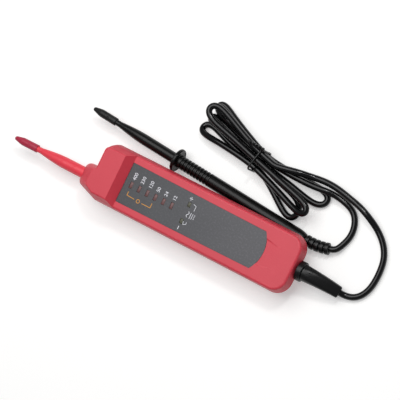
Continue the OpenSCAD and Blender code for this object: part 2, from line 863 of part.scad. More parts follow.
// A loop leaves the waist at one strand, swings out and comes back at another
function loop_at(side, a, b, g, t) =
    let (q = max(0, sin(180 * t)))
    let (open = loop_opening(a, b, g))
    let (out = pow(q, open))
    let (w = (1 - cos(180 * t)) / 2)
    let (way = a[0] == b[0] ? sign(a[1] - b[1]) : sign(a[0] - b[0]))
    let (full = g[2] * loop_bulge * mix(loop_bulge, 1, open))
    let (lean = full * cos(180 * t) * (1 + q * q) * pow(out, 1.5) * way)
    let (far = pow(out, 2.5))
    [
        side * (waist_half + g[1] * out * cos(g[0])),
        mix(a[0], b[0], w) + g[1] * out * sin(g[0]) + lean * cos(g[3]),
        max(cord_r, mix(mix(a[1], b[1], w), g[4], far) + lean * sin(g[3]))
    ];
function hank_place(p) = [
    hank_at[0] + p[0] * cos(hank_turn) - p[1] * sin(hank_turn),
    hank_at[1] + p[0] * sin(hank_turn) + p[1] * cos(hank_turn),
    p[2]
];
hank_local = concat(
    [for (s = [waist_half + lead_out, waist_half + lead_out / 2]) [-s, strands[0][0], strands[0][1]]],
    [
        for (i = [0:3])
        each concat(
            i == 0 ? [[-waist_half, strands[0][0], strands[0][1]]] : [],
            [for (k = [0:loop_steps]) loop_at(1, strands[2 * i], strands[2 * i + 1], left_loops[i], k / loop_steps)],
            i == 3 ? [[-waist_half, strands[7][0], strands[7][1]]]
            : [
                for (k = [0:loop_steps])
                loop_at(-1, strands[2 * i + 1], strands[2 * i + 2], right_loops[i], k / loop_steps)
            ]
        )
    ],
    [for (s = [waist_half + lead_out / 2, waist_half + lead_out]) [-s, strands[7][0], strands[7][1]]]
);
hank_path = [for (p = hank_local) hank_place(p)];
hank_last = len(hank_path) - 1;
module lead_hank() {
    color([0.1, 0.1, 0.11])
    tube(hank_path, same(hank_path, cord_r), 6);
}

// Free stretches of the lead: the points between the two ends were chosen by hand
body_route = [
    [-107, 0.5, 2], [-111, -3, 2], [-113.5, -8, 2], [-114.5, -14, 2], [-114.5, -21, 2], [-113.5, -28, 2],
    [-110.5, -34, 2.2], [-106, -39, 2.6], [-100, -43.5, 3.6], [-92, -47.7, 6.1], [-85.9, -50, 6], [-77.8, -51.8, 6.8],
    [-70.5, -53.6, 7.7], [-60.7, -54.2, 6.5], [-52.7, -53, 7.6], [-43.7, -51.9, 11.8]
];
probe_route = [
    [-86.8, -25.2, 2], [-88.6, -30, 2], [-88.7, -35.5, 2], [-87, -41, 2], [-83.5, -45.3, 2],
    [-78.2, -47.7, 3.3], [-70, -49.5, 4.4], [-62.4, -49, 7.2], [-55.1, -48.2, 7.4], [-44.4, -48.3, 7.6]
];
body_exit = tail_path[9];
body_aim = tangent(tail_path, 9);
boot_aim = tangent(boot_path, len(boot_path) - 1);
body_path = concat(
    [body_exit, body_exit + cord_d * body_aim],
    smooth(concat(
        [body_exit + cord_d * body_aim], body_route,
        [hank_path[0] + cord_d * unit(hank_path[0] - hank_path[1])]
    ), 2),
    [hank_path[0]]
);
probe_path = concat(
    [boot_end, boot_end + cord_d * boot_aim],
    smooth(concat(
        [boot_end + cord_d * boot_aim], probe_route,
        [hank_path[hank_last] + cord_d * unit(hank_path[hank_last] - hank_path[hank_last - 1])]
    ), 2),
    [hank_path[hank_last]]
);
// A smoothed route starts at the point before it, which is left out here
function clean(p) = [for (i = [0:len(p) - 1]) if (i == 0 || norm(p[i] - p[i - 1]) > slip) p[i]];
body_line = clean(body_path);
probe_line = clean(probe_path);
module lead_body_run() {
    color([0.1, 0.1, 0.11])
    tube(body_line, same(body_line, cord_r), 8);
}
module lead_probe_run() {
    color([0.1, 0.1, 0.11])
    tube(probe_line, same(probe_line, cord_r), 8);
}

// Twist tie: round the waist once, with its two ends twisted together above it
tie_r = tie_d / 2;
tie_bend = cord_r + tie_r + fit;
tie_mid_z = waist_low + cord_step;
tie_turns = 2.5;
tie_tail = 10;
tie_steps = 15;
// A square round the outer strands, with round corners
function tie_loop(a) = [
    0,
    cord_step * sign(cos(a)) + tie_bend * cos(a),
    tie_mid_z + cord_step * sign(sin(a)) + tie_bend * sin(a)
];
// The twisted pair leaves the far upper corner and lies along the strands, above them
tie_root = tie_loop(135) + [0, -tie_d, tie_d];
function tie_twist(t, phase) =
    let (a = phase + 360 * tie_turns * t)
    [
        tie_tail * t,
        tie_root[1] + tie_tail * t / 5 + (tie_r + slip) * cos(a),
        tie_root[2] + tie_tail * t / 4 + (tie_r + slip) * sin(a)
    ];
tie_local = concat(
    [for (i = [0:tie_steps]) tie_twist(1 - i / tie_steps, 0)],
    [for (i = [0:24]) tie_loop(140 + 350 * i / 24) + [(tie_d + 4 * fit) * (i / 24 - 1 / 2), 0, 0]],
    [for (i = [0:tie_steps]) tie_twist(i / tie_steps, 180)]
);
tie_path = [for (p = tie_local) hank_place(p)];
module twist_tie() {
    color("black")
    tube(tie_path, same(tie_path, tie_r), 6);
}

// Least gap between two stretches of the lead that aren't neighbours, by points set close together
function dense(p) = [
    for (i = [0:len(p) - 2]) for (k = [0:2]) p[i] + (p[i + 1] - p[i]) * k / 3
];
whole_lead = concat(body_line, hank_path, [for (i = [len(probe_line) - 1:-1:0]) probe_line[i]]);
function run_length(p) = [
    for (i = 0, s = 0; i < len(p) - 1; s = s + norm(p[i + 1] - p[i]), i = i + 1) s
];
dense_lead = dense(clean(whole_lead));
dense_run = run_length(dense_lead);
near_run = cord_d * 3;
least_gap = min([
    for (i = [0:len(dense_run) - 2])
    min(concat([body_len], [
        for (j = [i + 1:len(dense_run) - 1])
        if (dense_run[j] - dense_run[i] > near_run) norm(dense_lead[i] - dense_lead[j])
    ]))
]) - cord_d;
echo(least_gap_of_lead = least_gap);
echo(length_of_lead = dense_run[len(dense_run) - 1]);

upper_shell();
lower_shell();
shell_seals();
case_screws();
face_label();
voltage_lenses();
polarity_lenses();
light_shield();
circuit_board();
voltage_leds();
polarity_leds();
input_resistors();
thermistors();
bridge_diodes();
capacitor();
controller_chip();
live_wire();
return_wire();
live_probe_sleeve();
live_probe_rod();
live_tip_cap();
cord_gland();
second_probe_sleeve();
second_probe_rod();
second_tip_cap();
second_probe_handle();
probe_crimp();
probe_inner_wire();
second_probe_boot();
lead_body_run();
lead_hank();
lead_probe_run();
twist_tie();
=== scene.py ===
# %% [markdown]
# A two-pole voltage tester lies face up on a white table: a red housing with a grey label and a fixed probe,
# a second black probe beside it, and a black lead tied in a hank between the two. The measured solids come
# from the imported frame. This file dresses them: it rebuilds each visible piece with finer curves in the same
# place, gives every piece a material that works from its nodes, and sets the light and the camera.

# %% Load the frame
from math import asin, atan, copysign, cos, degrees, pi, radians, sin, tan
import bpy
import bmesh
from mathutils import Matrix, Vector


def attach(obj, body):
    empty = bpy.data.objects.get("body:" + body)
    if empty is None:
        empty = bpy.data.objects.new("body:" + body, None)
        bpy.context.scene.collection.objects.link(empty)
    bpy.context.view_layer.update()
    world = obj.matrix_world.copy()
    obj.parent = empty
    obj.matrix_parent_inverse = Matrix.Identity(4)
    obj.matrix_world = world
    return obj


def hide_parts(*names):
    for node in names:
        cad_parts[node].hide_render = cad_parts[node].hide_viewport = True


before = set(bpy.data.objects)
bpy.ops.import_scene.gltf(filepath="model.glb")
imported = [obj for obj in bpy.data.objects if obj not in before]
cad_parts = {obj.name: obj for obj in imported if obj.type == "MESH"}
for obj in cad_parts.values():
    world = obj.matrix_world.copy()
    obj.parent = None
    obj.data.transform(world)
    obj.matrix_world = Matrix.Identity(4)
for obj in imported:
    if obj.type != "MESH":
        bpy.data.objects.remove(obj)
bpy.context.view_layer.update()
MM = 0.001
BODY = "tester"

# %% [markdown]
# The camera looks down at about 68 degrees with a long lens, turned so that the tester runs from the upper
# left to the lower right. Its three directions are written out, because a turned camera is easier to keep
# exact as a matrix than as three angles.

# %% Camera
TARGET = Vector((9.097, -10.067, 0)) * MM
VIEW_ANGLE = radians(12)
DISTANCE = 1170 * MM
FAR_CLIP = 10
elevation = radians(68)
roll = radians(20)
drift_in_picture = radians(6.9)
swing = atan(tan(drift_in_picture) * sin(elevation))
level = Vector((-cos(swing), -sin(swing), 0))
across = Vector((-sin(swing), cos(swing), 0))
up = Vector((0, 0, 1))
tilt = level * sin(elevation) - up * cos(elevation)
to_camera = level * cos(elevation) + up * sin(elevation)
right = tilt * cos(roll) - across * sin(roll)
down = tilt * sin(roll) + across * cos(roll)
camera = bpy.data.objects.new("camera", bpy.data.cameras.new("camera"))
bpy.context.scene.collection.objects.link(camera)
view_axes = Matrix((right, -down, to_camera)).transposed().to_4x4()
camera.matrix_world = Matrix.Translation(TARGET + to_camera * DISTANCE) @ view_axes
camera.data.sensor_fit = "HORIZONTAL"
camera.data.angle = VIEW_ANGLE
camera.data.clip_end = FAR_CLIP
bpy.context.scene.camera = camera
print("camera at", [round(c, 3) for c in camera.location])

# %% [markdown]
# Every shape here is written in millimetres as lists of points, so one helper turns points and faces into an
# object. A loft joins rings that all have one count of points, and most pieces of this tester are lofts: a
# tube, a turned handle and a housing differ only in their rings.

# %% Mesh helpers
MERGE = 1e-6


def new_object(name, mesh):
    piece = bpy.data.objects.new(name, mesh)
    bpy.context.scene.collection.objects.link(piece)
    return piece


def solid(name, points, faces, sharp=35, merge=MERGE):
    """A closed piece from points in mm, with its faces turned outwards and smooth up to the sharp angle."""
    mesh = bpy.data.meshes.new(name)
    mesh.from_pydata([Vector(p) * MM for p in points], [], faces)
    shape = bmesh.new()
    shape.from_mesh(mesh)
    bmesh.ops.remove_doubles(shape, verts=shape.verts, dist=merge)
    bmesh.ops.recalc_face_normals(shape, faces=shape.faces)
    shape.to_mesh(mesh)
    shape.free()
    mesh.shade_smooth()
    mesh.set_sharp_from_angle(angle=radians(sharp))
    return new_object(name, mesh)


def loft(name, rings, sharp=35):
    """A closed skin over rings of points, the first and the last of them filled."""
    count = len(rings[0])
    last = (len(rings) - 1) * count
    faces = [list(range(count)), list(range(last + count - 1, last - 1, -1))]
    for i in range(len(rings) - 1):
        for j in range(count):
            k = (j + 1) % count
            faces.append((i * count + j, i * count + k, (i + 1) * count + k, (i + 1) * count + j))
    return solid(name, [p for ring in rings for p in ring], faces, sharp)


# %% [markdown]
# Materials start from what the real surface is. A few helpers keep them short: one turns a colour written as
# sRGB hex into the linear numbers that a shader works in, one adds a node with its settings and links, and
# four make the nodes that most materials have: noise, a stretched range, a mix of two colours and a bump.

# %% Material helpers
def linear(hex_colour, share=1):
    values = [int(hex_colour[i:i + 2], 16) / 255 for i in (1, 3, 5)]
    return tuple(share * (v / 12.92 if v <= 0.04045 else ((v + 0.055) / 1.055) ** 2.4) for v in values) + (1,)


def feed(tree, node, inputs):
    """Inputs of a node, each given as a value or as the socket that feeds it."""
    for key, value in inputs.items():
        if isinstance(value, bpy.types.NodeSocket):
            tree.links.new(value, node.inputs[key])
        else:
            node.inputs[key].default_value = value


def add_node(tree, kind, inputs=None, **settings):
    """A new node with its settings and its inputs."""
    node = tree.nodes.new(kind)
    for key, value in settings.items():
        setattr(node, key, value)
    feed(tree, node, inputs or {})
    return node


def noise(tree, place, size_mm, detail):
    inputs = {"Vector": place, "Scale": 1 / (size_mm * MM), "Detail": detail}
    return add_node(tree, "ShaderNodeTexNoise", inputs).outputs["Fac"]


def ranged(tree, value, low=0, high=1, start=0, end=1):
    """A value that runs from start to end, brought to run from low to high."""
    inputs = {"Value": value, "From Min": start, "From Max": end, "To Min": low, "To Max": high}
    return add_node(tree, "ShaderNodeMapRange", inputs).outputs["Result"]


def mixed(tree, share, a, b, **settings):
    inputs = {"Factor": share, "A": a, "B": b}
    return add_node(tree, "ShaderNodeMix", inputs, data_type="RGBA", **settings).outputs["Result"]


def bumped(tree, height, depth_mm):
    inputs = {"Height": height, "Distance": depth_mm * MM}
    return add_node(tree, "ShaderNodeBump", inputs).outputs["Normal"]


def new_material(name):
    """A material with its shader, and the point on the object in metres for its patterns."""
    material = bpy.data.materials.new(name)
    material.use_nodes = True
    tree = material.node_tree
    shader = tree.nodes["Principled BSDF"]
    place = add_node(tree, "ShaderNodeTexCoord").outputs["Object"]
    return material, tree, shader, place


def moulded(name, colour, shade, rough, grain_mm, bump_mm, coat=0.0, specular=0.5, patch_mm=14):
    """Plastic or rubber from a mould: slow drifts of colour, and a fine grain that blurs what it mirrors."""
    material, tree, shader, place = new_material(name)
    drift = noise(tree, place, patch_mm, 3.0)
    grain = noise(tree, place, grain_mm, 2.0)
    feed(tree, shader, {
        "Base Color": mixed(tree, drift, linear(colour), linear(shade)),
        "Roughness": ranged(tree, grain, rough * 0.85, min(1.0, rough * 1.15)),
        "Normal": bumped(tree, grain, bump_mm),
        "Specular IOR Level": specular, "Coat Weight": coat, "Coat Roughness": 0.15,
    })
    return material


# %% [markdown]
# The housing is moulded ABS with a spark-eroded grain, so its highlights are broad and slightly sparkling.
# The real grain is about a third of a millimetre; it is drawn at 0.8 mm, because a finer one wouldn't show
# here. The sleeves are smoother PP, the caps soft PVC, and the lead PVC with a gloss.

# %% Materials
abs_red = moulded("moulded_abs_red", "#DC3E4E", "#D23646", 0.5, 0.8, 0.06, specular=0.6)
# The lower shell is the same red ABS as the upper one, drawn darker: this is painted shade, for the shade below
# the parting line.
abs_red_painted_shade = moulded("moulded_abs_red_lower", "#C23C4A", "#B83745", 0.55, 0.8, 0.06)
pp_red = moulded("moulded_pp_coral", "#F24352", "#EC3E4D", 0.4, 0.5, 0.02)
pvc_red = moulded("soft_pvc_crimson", "#B62B47", "#AC2641", 0.45, 0.6, 0.03)
pp_black = moulded("moulded_pp_black", "#090908", "#050504", 0.3, 0.5, 0.02, specular=0.28)
pvc_black = moulded("soft_pvc_black", "#0F100F", "#0A0B0A", 0.48, 0.6, 0.03, specular=0.4)
rubber_black = moulded("moulded_tpe_black", "#0A0A0B", "#070708", 0.34, 0.4, 0.03, specular=0.34)
cord_black = moulded("extruded_pvc_black", "#060607", "#040405", 0.16, 1.2, 0.02, specular=0.36, patch_mm=30)
tie_black = moulded("coated_wire_black", "#0A0A0A", "#060606", 0.3, 0.8, 0.02)
seal_grey = moulded("tpe_seal_taupe", "#7A5A58", "#6C4E4C", 0.6, 0.4, 0.04)
print("materials:", len(bpy.data.materials))

# %% [markdown]
# The lead is one cord, from the gland's tail to the second probe's bend relief. Between its two free
# stretches it is tied in a hank. A formula makes the loops of the hank from a few numbers each: a loop leaves
# the tied waist at one strand, swings out and comes back at another.

# %% The hank's loops
CORD_D = 4.0
CORD_R = CORD_D / 2
CORD_STEP = CORD_D + 0.7
FIT = 0.1
TIE_D = 1.2
WAIST_LOW = CORD_R + TIE_D + FIT
WAIST_HALF = 5.0
LEAD_OUT = 7.0
LOOP_BULGE = 0.7
TIP_SHARE = 3
TIP_LEAST = 0.35
HANK_AT = (-17.8, -47.6)
HANK_TURN = radians(-14.8)


def in_hank(p):
    c, s = cos(HANK_TURN), sin(HANK_TURN)
    return Vector((HANK_AT[0] + p[0] * c - p[1] * s, HANK_AT[1] + p[0] * s + p[1] * c, p[2]))


def strand(column, layer):
    return column * CORD_STEP, WAIST_LOW + layer * CORD_STEP


STRANDS = [strand(*s) for s in ((-1, 2), (0, 2), (1, 1), (1, 0), (0, 1), (0, 0), (-1, 0), (-1, 1))]
# Heading, length, width, roll and height of the far end of each loop
LEFT_LOOPS = (
    (-4.4, 39.3, 5.9, 10, 15.4), (3.7, 39.8, 7.3, 18, 2.5),
    (-0.6, 39, 5.1, 50, 3.9), (-5.5, 40.5, 5.6, 18, 2.9),
)
RIGHT_LOOPS = ((2.2, 39.7, 3.8, -10, 12.2), (11.4, 34.8, 9.7, -12, 4.1), (-7.5, 43, 6.9, 1, 2))
LOOP_STEPS = 12


def loop_point(side, a, b, loop, t):
    """A point of a loop: a narrow loop stays shut for longer, so that its tip comes out round."""
    heading, length, width, lean_over, height = loop
    q = max(sin(pi * t), 0)
    c = cos(pi * t)
    opening = min(1, max(TIP_LEAST, TIP_SHARE * (width + abs(b[0] - a[0]) * 5 / 8) / length))
    out = q ** opening
    w = (1 - c) / 2
    way = (a[1] > b[1]) - (a[1] < b[1]) if a[0] == b[0] else (a[0] > b[0]) - (a[0] < b[0])
    full = width * LOOP_BULGE * (LOOP_BULGE + (1 - LOOP_BULGE) * opening)
    lean = full * c * (1 + q * q) * out ** 1.5 * way
    far = out ** 2.5
    h, r = radians(heading), radians(lean_over)
    low = (a[1] + (b[1] - a[1]) * w) * (1 - far) + height * far + lean * sin(r)
    return (
        side * (WAIST_HALF + length * out * cos(h)),
        a[0] + (b[0] - a[0]) * w + length * out * sin(h) + lean * cos(r),
        max(CORD_R, low),
    )


shares = [k / LOOP_STEPS for k in range(LOOP_STEPS + 1)]
hank = [(-WAIST_HALF - LEAD_OUT * k, *STRANDS[0]) for k in (1, 0.5, 0)]
for i, loop in enumerate(LEFT_LOOPS):
    hank += [loop_point(1, STRANDS[2 * i], STRANDS[2 * i + 1], loop, t) for t in shares]
    if i < len(RIGHT_LOOPS):
        hank += [loop_point(-1, STRANDS[2 * i + 1], STRANDS[2 * i + 2], RIGHT_LOOPS[i], t) for t in shares]
hank += [(-WAIST_HALF - LEAD_OUT * k, *STRANDS[7]) for k in (0, 0.5, 1)]
hank = [in_hank(p) for p in hank]
print("loops:", len(LEFT_LOOPS) + len(RIGHT_LOOPS), "points:", len(hank))

# %% [markdown]
# The free stretches follow listed points, as the solids have them. A spline over all the
# points rounds them, because a real lead has no corner.

# %% The cord's route
BODY_EXIT = Vector((-98.0, 1.3, 4.05))
BODY_AIM = Vector((-0.896, 0.098, -0.433)).normalized()
BODY_ROUTE = [Vector(p) for p in (
    (-107, 0.5, 2), (-111, -3, 2), (-113.5, -8, 2), (-114.5, -14, 2), (-114.5, -21, 2), (-113.5, -28, 2),
    (-110.5, -34, 2.2), (-106, -39, 2.6), (-100, -43.5, 3.6), (-92, -47.7, 6.1), (-85.9, -50, 6),
    (-77.8, -51.8, 6.8), (-70.5, -53.6, 7.7), (-60.7, -54.2, 6.5), (-52.7, -53, 7.6), (-43.7, -51.9, 11.8),
)]
PROBE_ROUTE = [Vector(p) for p in (
    (-86.8, -25.2, 2), (-88.6, -30, 2), (-88.7, -35.5, 2), (-87, -41, 2), (-83.5, -45.3, 2),
    (-78.2, -47.7, 3.3), (-70, -49.5, 4.4), (-62.4, -49, 7.2), (-55.1, -48.2, 7.4), (-44.4, -48.3, 7.6),
)]


PROBE_GUARD = Vector((31.8, -26.1, 7.725))
HANDLE_END = -97
BOOT_STRAIGHT = 8.5
SPLINE_STEPS = 5
probe_turn = Matrix.Rotation(radians(-5.03), 3, "Z") @ Matrix.Rotation(radians(-2.1), 3, "Y")


def second_at(x, y=0, z=0):
    return PROBE_GUARD + probe_turn @ Vector((x, y, z))


def boot_bend(t):
    """The line of the bend relief, from the handle's rear end down to the table."""
    a = second_at(HANDLE_END - FIT)
    b = second_at(HANDLE_END - FIT - BOOT_STRAIGHT)
    c = Vector((a.x - 16.32, a.y - 1.55, 3.8))
    return (1 - t) ** 2 * a + 2 * t * (1 - t) * b + t * t * c


def eased_line(points, steps):
    """A cubic B-spline: it keeps the way of the points, rounds every corner and never leaves their hull."""
    ends = [points[0] * 2 - points[1]] + points + [points[-1] * 2 - points[-2]]
    out = []
    for i in range(len(points) - 1):
        a, b, c, d = ends[i:i + 4]
        for k in range(steps):
            t = k / steps
            near, far = 3 * t ** 3 - 6 * t * t + 4, 3 * t + 3 * t * t - 3 * t ** 3 + 1
            out.append(((1 - t) ** 3 * a + near * b + far * c + t ** 3 * d) / 6)
    return out + [points[-1]]


probe_exit = boot_bend(1)
probe_aim = (probe_exit - boot_bend(0.98)).normalized()
route = [BODY_EXIT, BODY_EXIT + BODY_AIM * CORD_D] + BODY_ROUTE + hank
route += PROBE_ROUTE[::-1] + [probe_exit + probe_aim * CORD_D, probe_exit]
lead_path = eased_line(route, SPLINE_STEPS)

# %% [markdown]
# A tube follows the points of a path. Each ring of it is turned as little as possible from the ring before,
# so that the tube never twists. The same helper makes the lead, its tie and the rings of the bend relief,
# where the radius changes along the way.

# %% The lead
def tube(name, path, radius, sides=20, square=None, sharp=40):
    """A tube along a path; square gives, per point, how far the ring goes from round towards square."""
    rings = []
    side = None
    for i, point in enumerate(path):
        ahead = (path[min(i + 1, len(path) - 1)] - path[max(i - 1, 0)]).normalized()
        side = ahead.orthogonal() if side is None else side - ahead * side.dot(ahead)
        if i == 0 and abs(ahead.z) < 0.9:
            side = up - ahead * ahead.z
        side.normalize()
        other = ahead.cross(side)
        r = radius[i] if isinstance(radius, list) else radius
        power = 2 + 3 * (square[i] if square else 0)
        ring = []
        for k in range(sides):
            a = 2 * pi * k / sides
            c, s = cos(a), sin(a)
            reach = r / (abs(c) ** power + abs(s) ** power) ** (1 / power)
            ring.append(point + (side * c + other * s) * reach)
        rings.append(ring)
    return loft(name, rings, sharp)


def dressed(piece, body, slot, material, *nodes):
    """The piece with its one material, the body that it rides on and the solids that it stands for."""
    piece.data.materials.clear()
    piece.data.materials.append(material)
    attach(piece, body)
    if nodes:
        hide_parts(*nodes)
    return piece


lead = tube("lead", lead_path, CORD_R)
dressed(lead, BODY, "cord_rubber", cord_black, "lead_body_run", "lead_hank", "lead_probe_run")
print("lead faces:", len(lead.data.polygons))

# %% [markdown]
# The twist tie is a coated wire. It goes once round the waist of the hank, and its two ends are wound round
# each other. It moves with the lead, on the same body.

# %% The twist tie
TIE_R = TIE_D / 2
TIE_MID = WAIST_LOW + CORD_STEP
TIE_BEND = CORD_R + TIE_R + FIT
TWIST_ANGLE, TWIST_LEN, TWIST_SIDE, TWIST_RISE = 900, 10, 2, 2.5


def tie_loop(a):
    """A point of the tie's turn round the waist: a square of strands with round corners."""
    c, s = cos(radians(a)), sin(radians(a))
    y = copysign(CORD_STEP, c) + TIE_BEND * c
    return Vector((0, y, TIE_MID + copysign(CORD_STEP, s) + TIE_BEND * s))


tie_root = tie_loop(135) + Vector((0, -TIE_D, TIE_D))


def tie_twist(t, phase):
    """A point of one of the two ends, which wind round each other."""
    a = radians(phase + TWIST_ANGLE * t)
    r = TIE_R + FIT / 2
    y = tie_root.y + TWIST_SIDE * t + r * cos(a)
    return Vector((TWIST_LEN * t, y, tie_root.z + TWIST_RISE * t + r * sin(a)))


TWIST_STEPS, TURN_STEPS = 30, 60
tie_line = [tie_twist(1 - i / TWIST_STEPS, 0) for i in range(TWIST_STEPS + 1)]
for i in range(TURN_STEPS + 1):
    aside = (TIE_D + 4 * FIT) * (i / TURN_STEPS - 0.5)
    tie_line.append(tie_loop(140 + 350 * i / TURN_STEPS) + Vector((aside, 0, 0)))
tie_line += [tie_twist(i / TWIST_STEPS, 180) for i in range(TWIST_STEPS + 1)]
tie = tube("tie", [in_hank(p) for p in tie_line], TIE_R - 0.02, 10)
dressed(tie, BODY, "tie_plastic", tie_black, "twist_tie")
print("tie faces:", len(tie.data.polygons))

# %% [markdown]
# The housing is two shells of moulded plastic that meet at one level. Its sizes stand together, so that the
# shells, the cutters and the label agree.

# %% Housing sizes
X_REAR, X_FRONT, X_NOSE = -72.0, 72.0, 82.7
BODY_W, SPLIT_Z, DECK_Z, HEAD_Z = 38.0, 11.5, 20.0, 25.5
WALL, REAR_R, FRONT_R, RIM = 2.4, 10.0, 5.0, 3.0
HEAD_LEN, SLOPE = 16.4, 4.5
X_HEAD = X_FRONT - HEAD_LEN
X_LABEL = X_HEAD - SLOPE
LABEL_LEN, LABEL_W, LABEL_REAR_W, LABEL_BOW = 97.0, 26.2, 24.2, 4.0
LABEL_Z, LABEL_T, ROOF_Z = 19.3, 0.4, 17.3
PROBE_Y, NOSE_LEN, NOSE_W, TAPER = 7.0, 10.7, 15.6, 5.7
NOSE_Y0, NOSE_Y1 = PROBE_Y - NOSE_W / 2, PROBE_Y + NOSE_W / 2
SLEEVE_D, FLARE, LEAN, HEAD_LEAN, HEAD_ROUND = 7.5, 11.5, 1.1, 5.0, 1.4
SLEEVE_ROOT, SLEEVE_RIM, SLEEVE_RIM_R = 64.65, (70.0, 72.0), 5.2
GLAND_RIM, GLAND_RIM_R, GLAND_NECK_R = (-69.5, -68.0), 5.0, 3.5
OVER = 0.5
SCREWS = [(x, y) for x in (-56.3, 55.8) for y in (-4.9, 4.9)]
TOWER_D, PILOT_D, SHANK_D, SCREW_HEAD_D = 5.6, 2.3, 2.4, 4.4
WINDOW_IN, WINDOW_PITCH, POLE_Y = 4.8, 6, 5.5
WINDOWS = [(X_LABEL - WINDOW_IN - WINDOW_PITCH * i, 0) for i in range(6)]
POLARITY = [(X_LABEL - WINDOW_IN - WINDOW_PITCH * 6.7, y) for y in (-POLE_Y, POLE_Y)]
PANE, POLE_PANE = (1, 2), (1, 1.5)
CORNER_STEPS, NOSE_STEPS, REAR_STEPS, BOW_STEPS = 14, 12, 20, 40
ROD_SIDES, POST_SIDES = 48, 32
NOSE_TURN = 75
print("windows at x in mm:", [round(x, 1) for x, y in WINDOWS])

# %% [markdown]
# Seen from above, each level of a shell is one closed outline, so a shell is a loft of outlines. Posts, bars
# and blocks of the same kind are the cutters for holes, seats and windows.

# %% Outlines and cutters
def arc(cx, cy, r, a0, a1, steps):
    turns = [radians(a0 + (a1 - a0) * i / steps) for i in range(steps + 1)]
    return [(cx + r * cos(a), cy + r * sin(a)) for a in turns]


def prism(name, outline, z0, z1):
    return loft(name, [[(x, y, z) for x, y in outline] for z in (z0, z1)])


def block(name, x0, x1, y0, y1, z0, z1):
    return prism(name, [(x0, y0), (x1, y0), (x1, y1), (x0, y1)], z0, z1)


def outline(end_in, side_in, r_back, r_front):
    """The housing seen from above, drawn in from its ends and its sides."""
    xr, xf, h = X_REAR + end_in, X_FRONT - end_in, BODY_W / 2 - side_in
    return (
        arc(xr + r_back, -h + r_back, r_back, 180, 270, CORNER_STEPS)
        + arc(xf - r_front, -h + r_front, r_front, 270, 360, CORNER_STEPS)
        + arc(xf - r_front, h - r_front, r_front, 0, 90, CORNER_STEPS)
        + arc(xr + r_back, h - r_back, r_back, 90, 180, CORNER_STEPS)
    )


def front_run(end_in, side_in, nose_in):
    """The front of the outline, from the far side round the nose to the near side."""
    xf, h = X_FRONT - end_in, BODY_W / 2 - side_in
    xn = max(X_NOSE - nose_in, xf + OVER)
    r, rn = FRONT_R - side_in / 2, min(NOSE_W / 4, (xn - xf) * 0.9)
    near = NOSE_Y1 - side_in / 2 - rn
    return (
        arc(xf - r, -h + r, r, 270, 360, CORNER_STEPS) + [(xf, NOSE_Y0 + side_in / 4)]
        + arc(xn - rn, NOSE_Y0 + side_in / 4 + rn, rn, 270, 360, NOSE_STEPS)
        + arc(xn - rn, near, rn, 0, NOSE_TURN, NOSE_STEPS) + [(X_FRONT - TAPER, h)]
    )


def rail_ring(z, end, side):
    h, r, xr = BODY_W / 2 - side, REAR_R - end, X_REAR + end
    ring = arc(xr + r, -h + r, r, 180, 270, REAR_STEPS) + [(X_LABEL, -h), (X_LABEL, h)]
    ring += arc(xr + r, h - r, r, 90, 180, REAR_STEPS)
    return [(x, y, z) for x, y in ring]


def head_ring(z, end, side, nose):
    h = BODY_W / 2 - side
    x0 = X_LABEL + SLOPE * max(0, z - DECK_Z) / (HEAD_Z - DECK_Z)
    return [(x, y, z) for x, y in [(x0, -h)] + front_run(end, side, nose) + [(x0, h)]]


def label_outline(grow):
    """The label's outline, whose rear edge is an arc, made larger by grow."""
    half = LABEL_REAR_W / 2 + grow
    r = (half * half + LABEL_BOW ** 2) / (2 * LABEL_BOW)
    sweep = degrees(asin(half / r))
    x0 = X_LABEL - LABEL_LEN - LABEL_BOW - grow + r
    front, side = X_LABEL + grow, LABEL_W / 2 + grow
    return [(front, -side), (front, side)] + arc(x0, 0, r, 180 - sweep, 180 + sweep, BOW_STEPS)


def rod(name, x0, x1, d, y=0):
    """A round bar along the housing, centred on the level at which the shells part."""
    turns = [2 * pi * k / ROD_SIDES for k in range(ROD_SIDES)]
    rings = [[(x, y + d / 2 * cos(a), SPLIT_Z + d / 2 * sin(a)) for a in turns] for x in (x0, x1)]
    return loft(name, rings)


def post(name, place, z0, z1, d):
    last = POST_SIDES - 1
    return prism(name, arc(*place, d / 2, 0, 360 * last / POST_SIDES, last), z0, z1)


def seats():
    """Where the fixed probe's sleeve and the cord's gland are held between the shells."""
    play = 2 * FIT
    bore, rim = SLEEVE_D + play, 2 * SLEEVE_RIM_R + play
    return [
        rod("seat_nose", SLEEVE_RIM[0] - OVER, X_NOSE + OVER, bore, PROBE_Y),
        rod("seat_rim", SLEEVE_RIM[0] - FIT, SLEEVE_RIM[1] + FIT, rim, PROBE_Y),
        rod("seat_root", SLEEVE_ROOT - 0.45, SLEEVE_RIM[0] + FIT, bore, PROBE_Y),
        rod("seat_neck", X_REAR - OVER, X_REAR + 6.5, 2 * GLAND_NECK_R + play),
        rod("seat_gland", GLAND_RIM[0] - FIT, GLAND_RIM[1] + FIT, 2 * GLAND_RIM_R + play),
    ]


def openings(name, places, pane, z0, z1):
    """Cutters for windows, each a little larger than its pane."""
    a, b = pane[0] + FIT, pane[1] + FIT
    return [block(name, x - a, x + a, y - b, y + b, z0, z1) for x, y in places]


# %% [markdown]
# Pockets and holes are cut with exact booleans, as inserts in the mould leave them. Each result becomes a
# plain mesh at once, so that its cutters can go. Then the edges are rounded, because no mould leaves one sharp.

# %% Cut and soften
def evaluated(piece):
    """What an object's modifiers or its text make, as a plain mesh."""
    graph = bpy.context.evaluated_depsgraph_get()
    return bpy.data.meshes.new_from_object(piece.evaluated_get(graph))


def baked(piece):
    """The same object with what its modifiers make as its own mesh."""
    mesh = evaluated(piece)
    piece.modifiers.clear()
    piece.data = mesh
    return piece


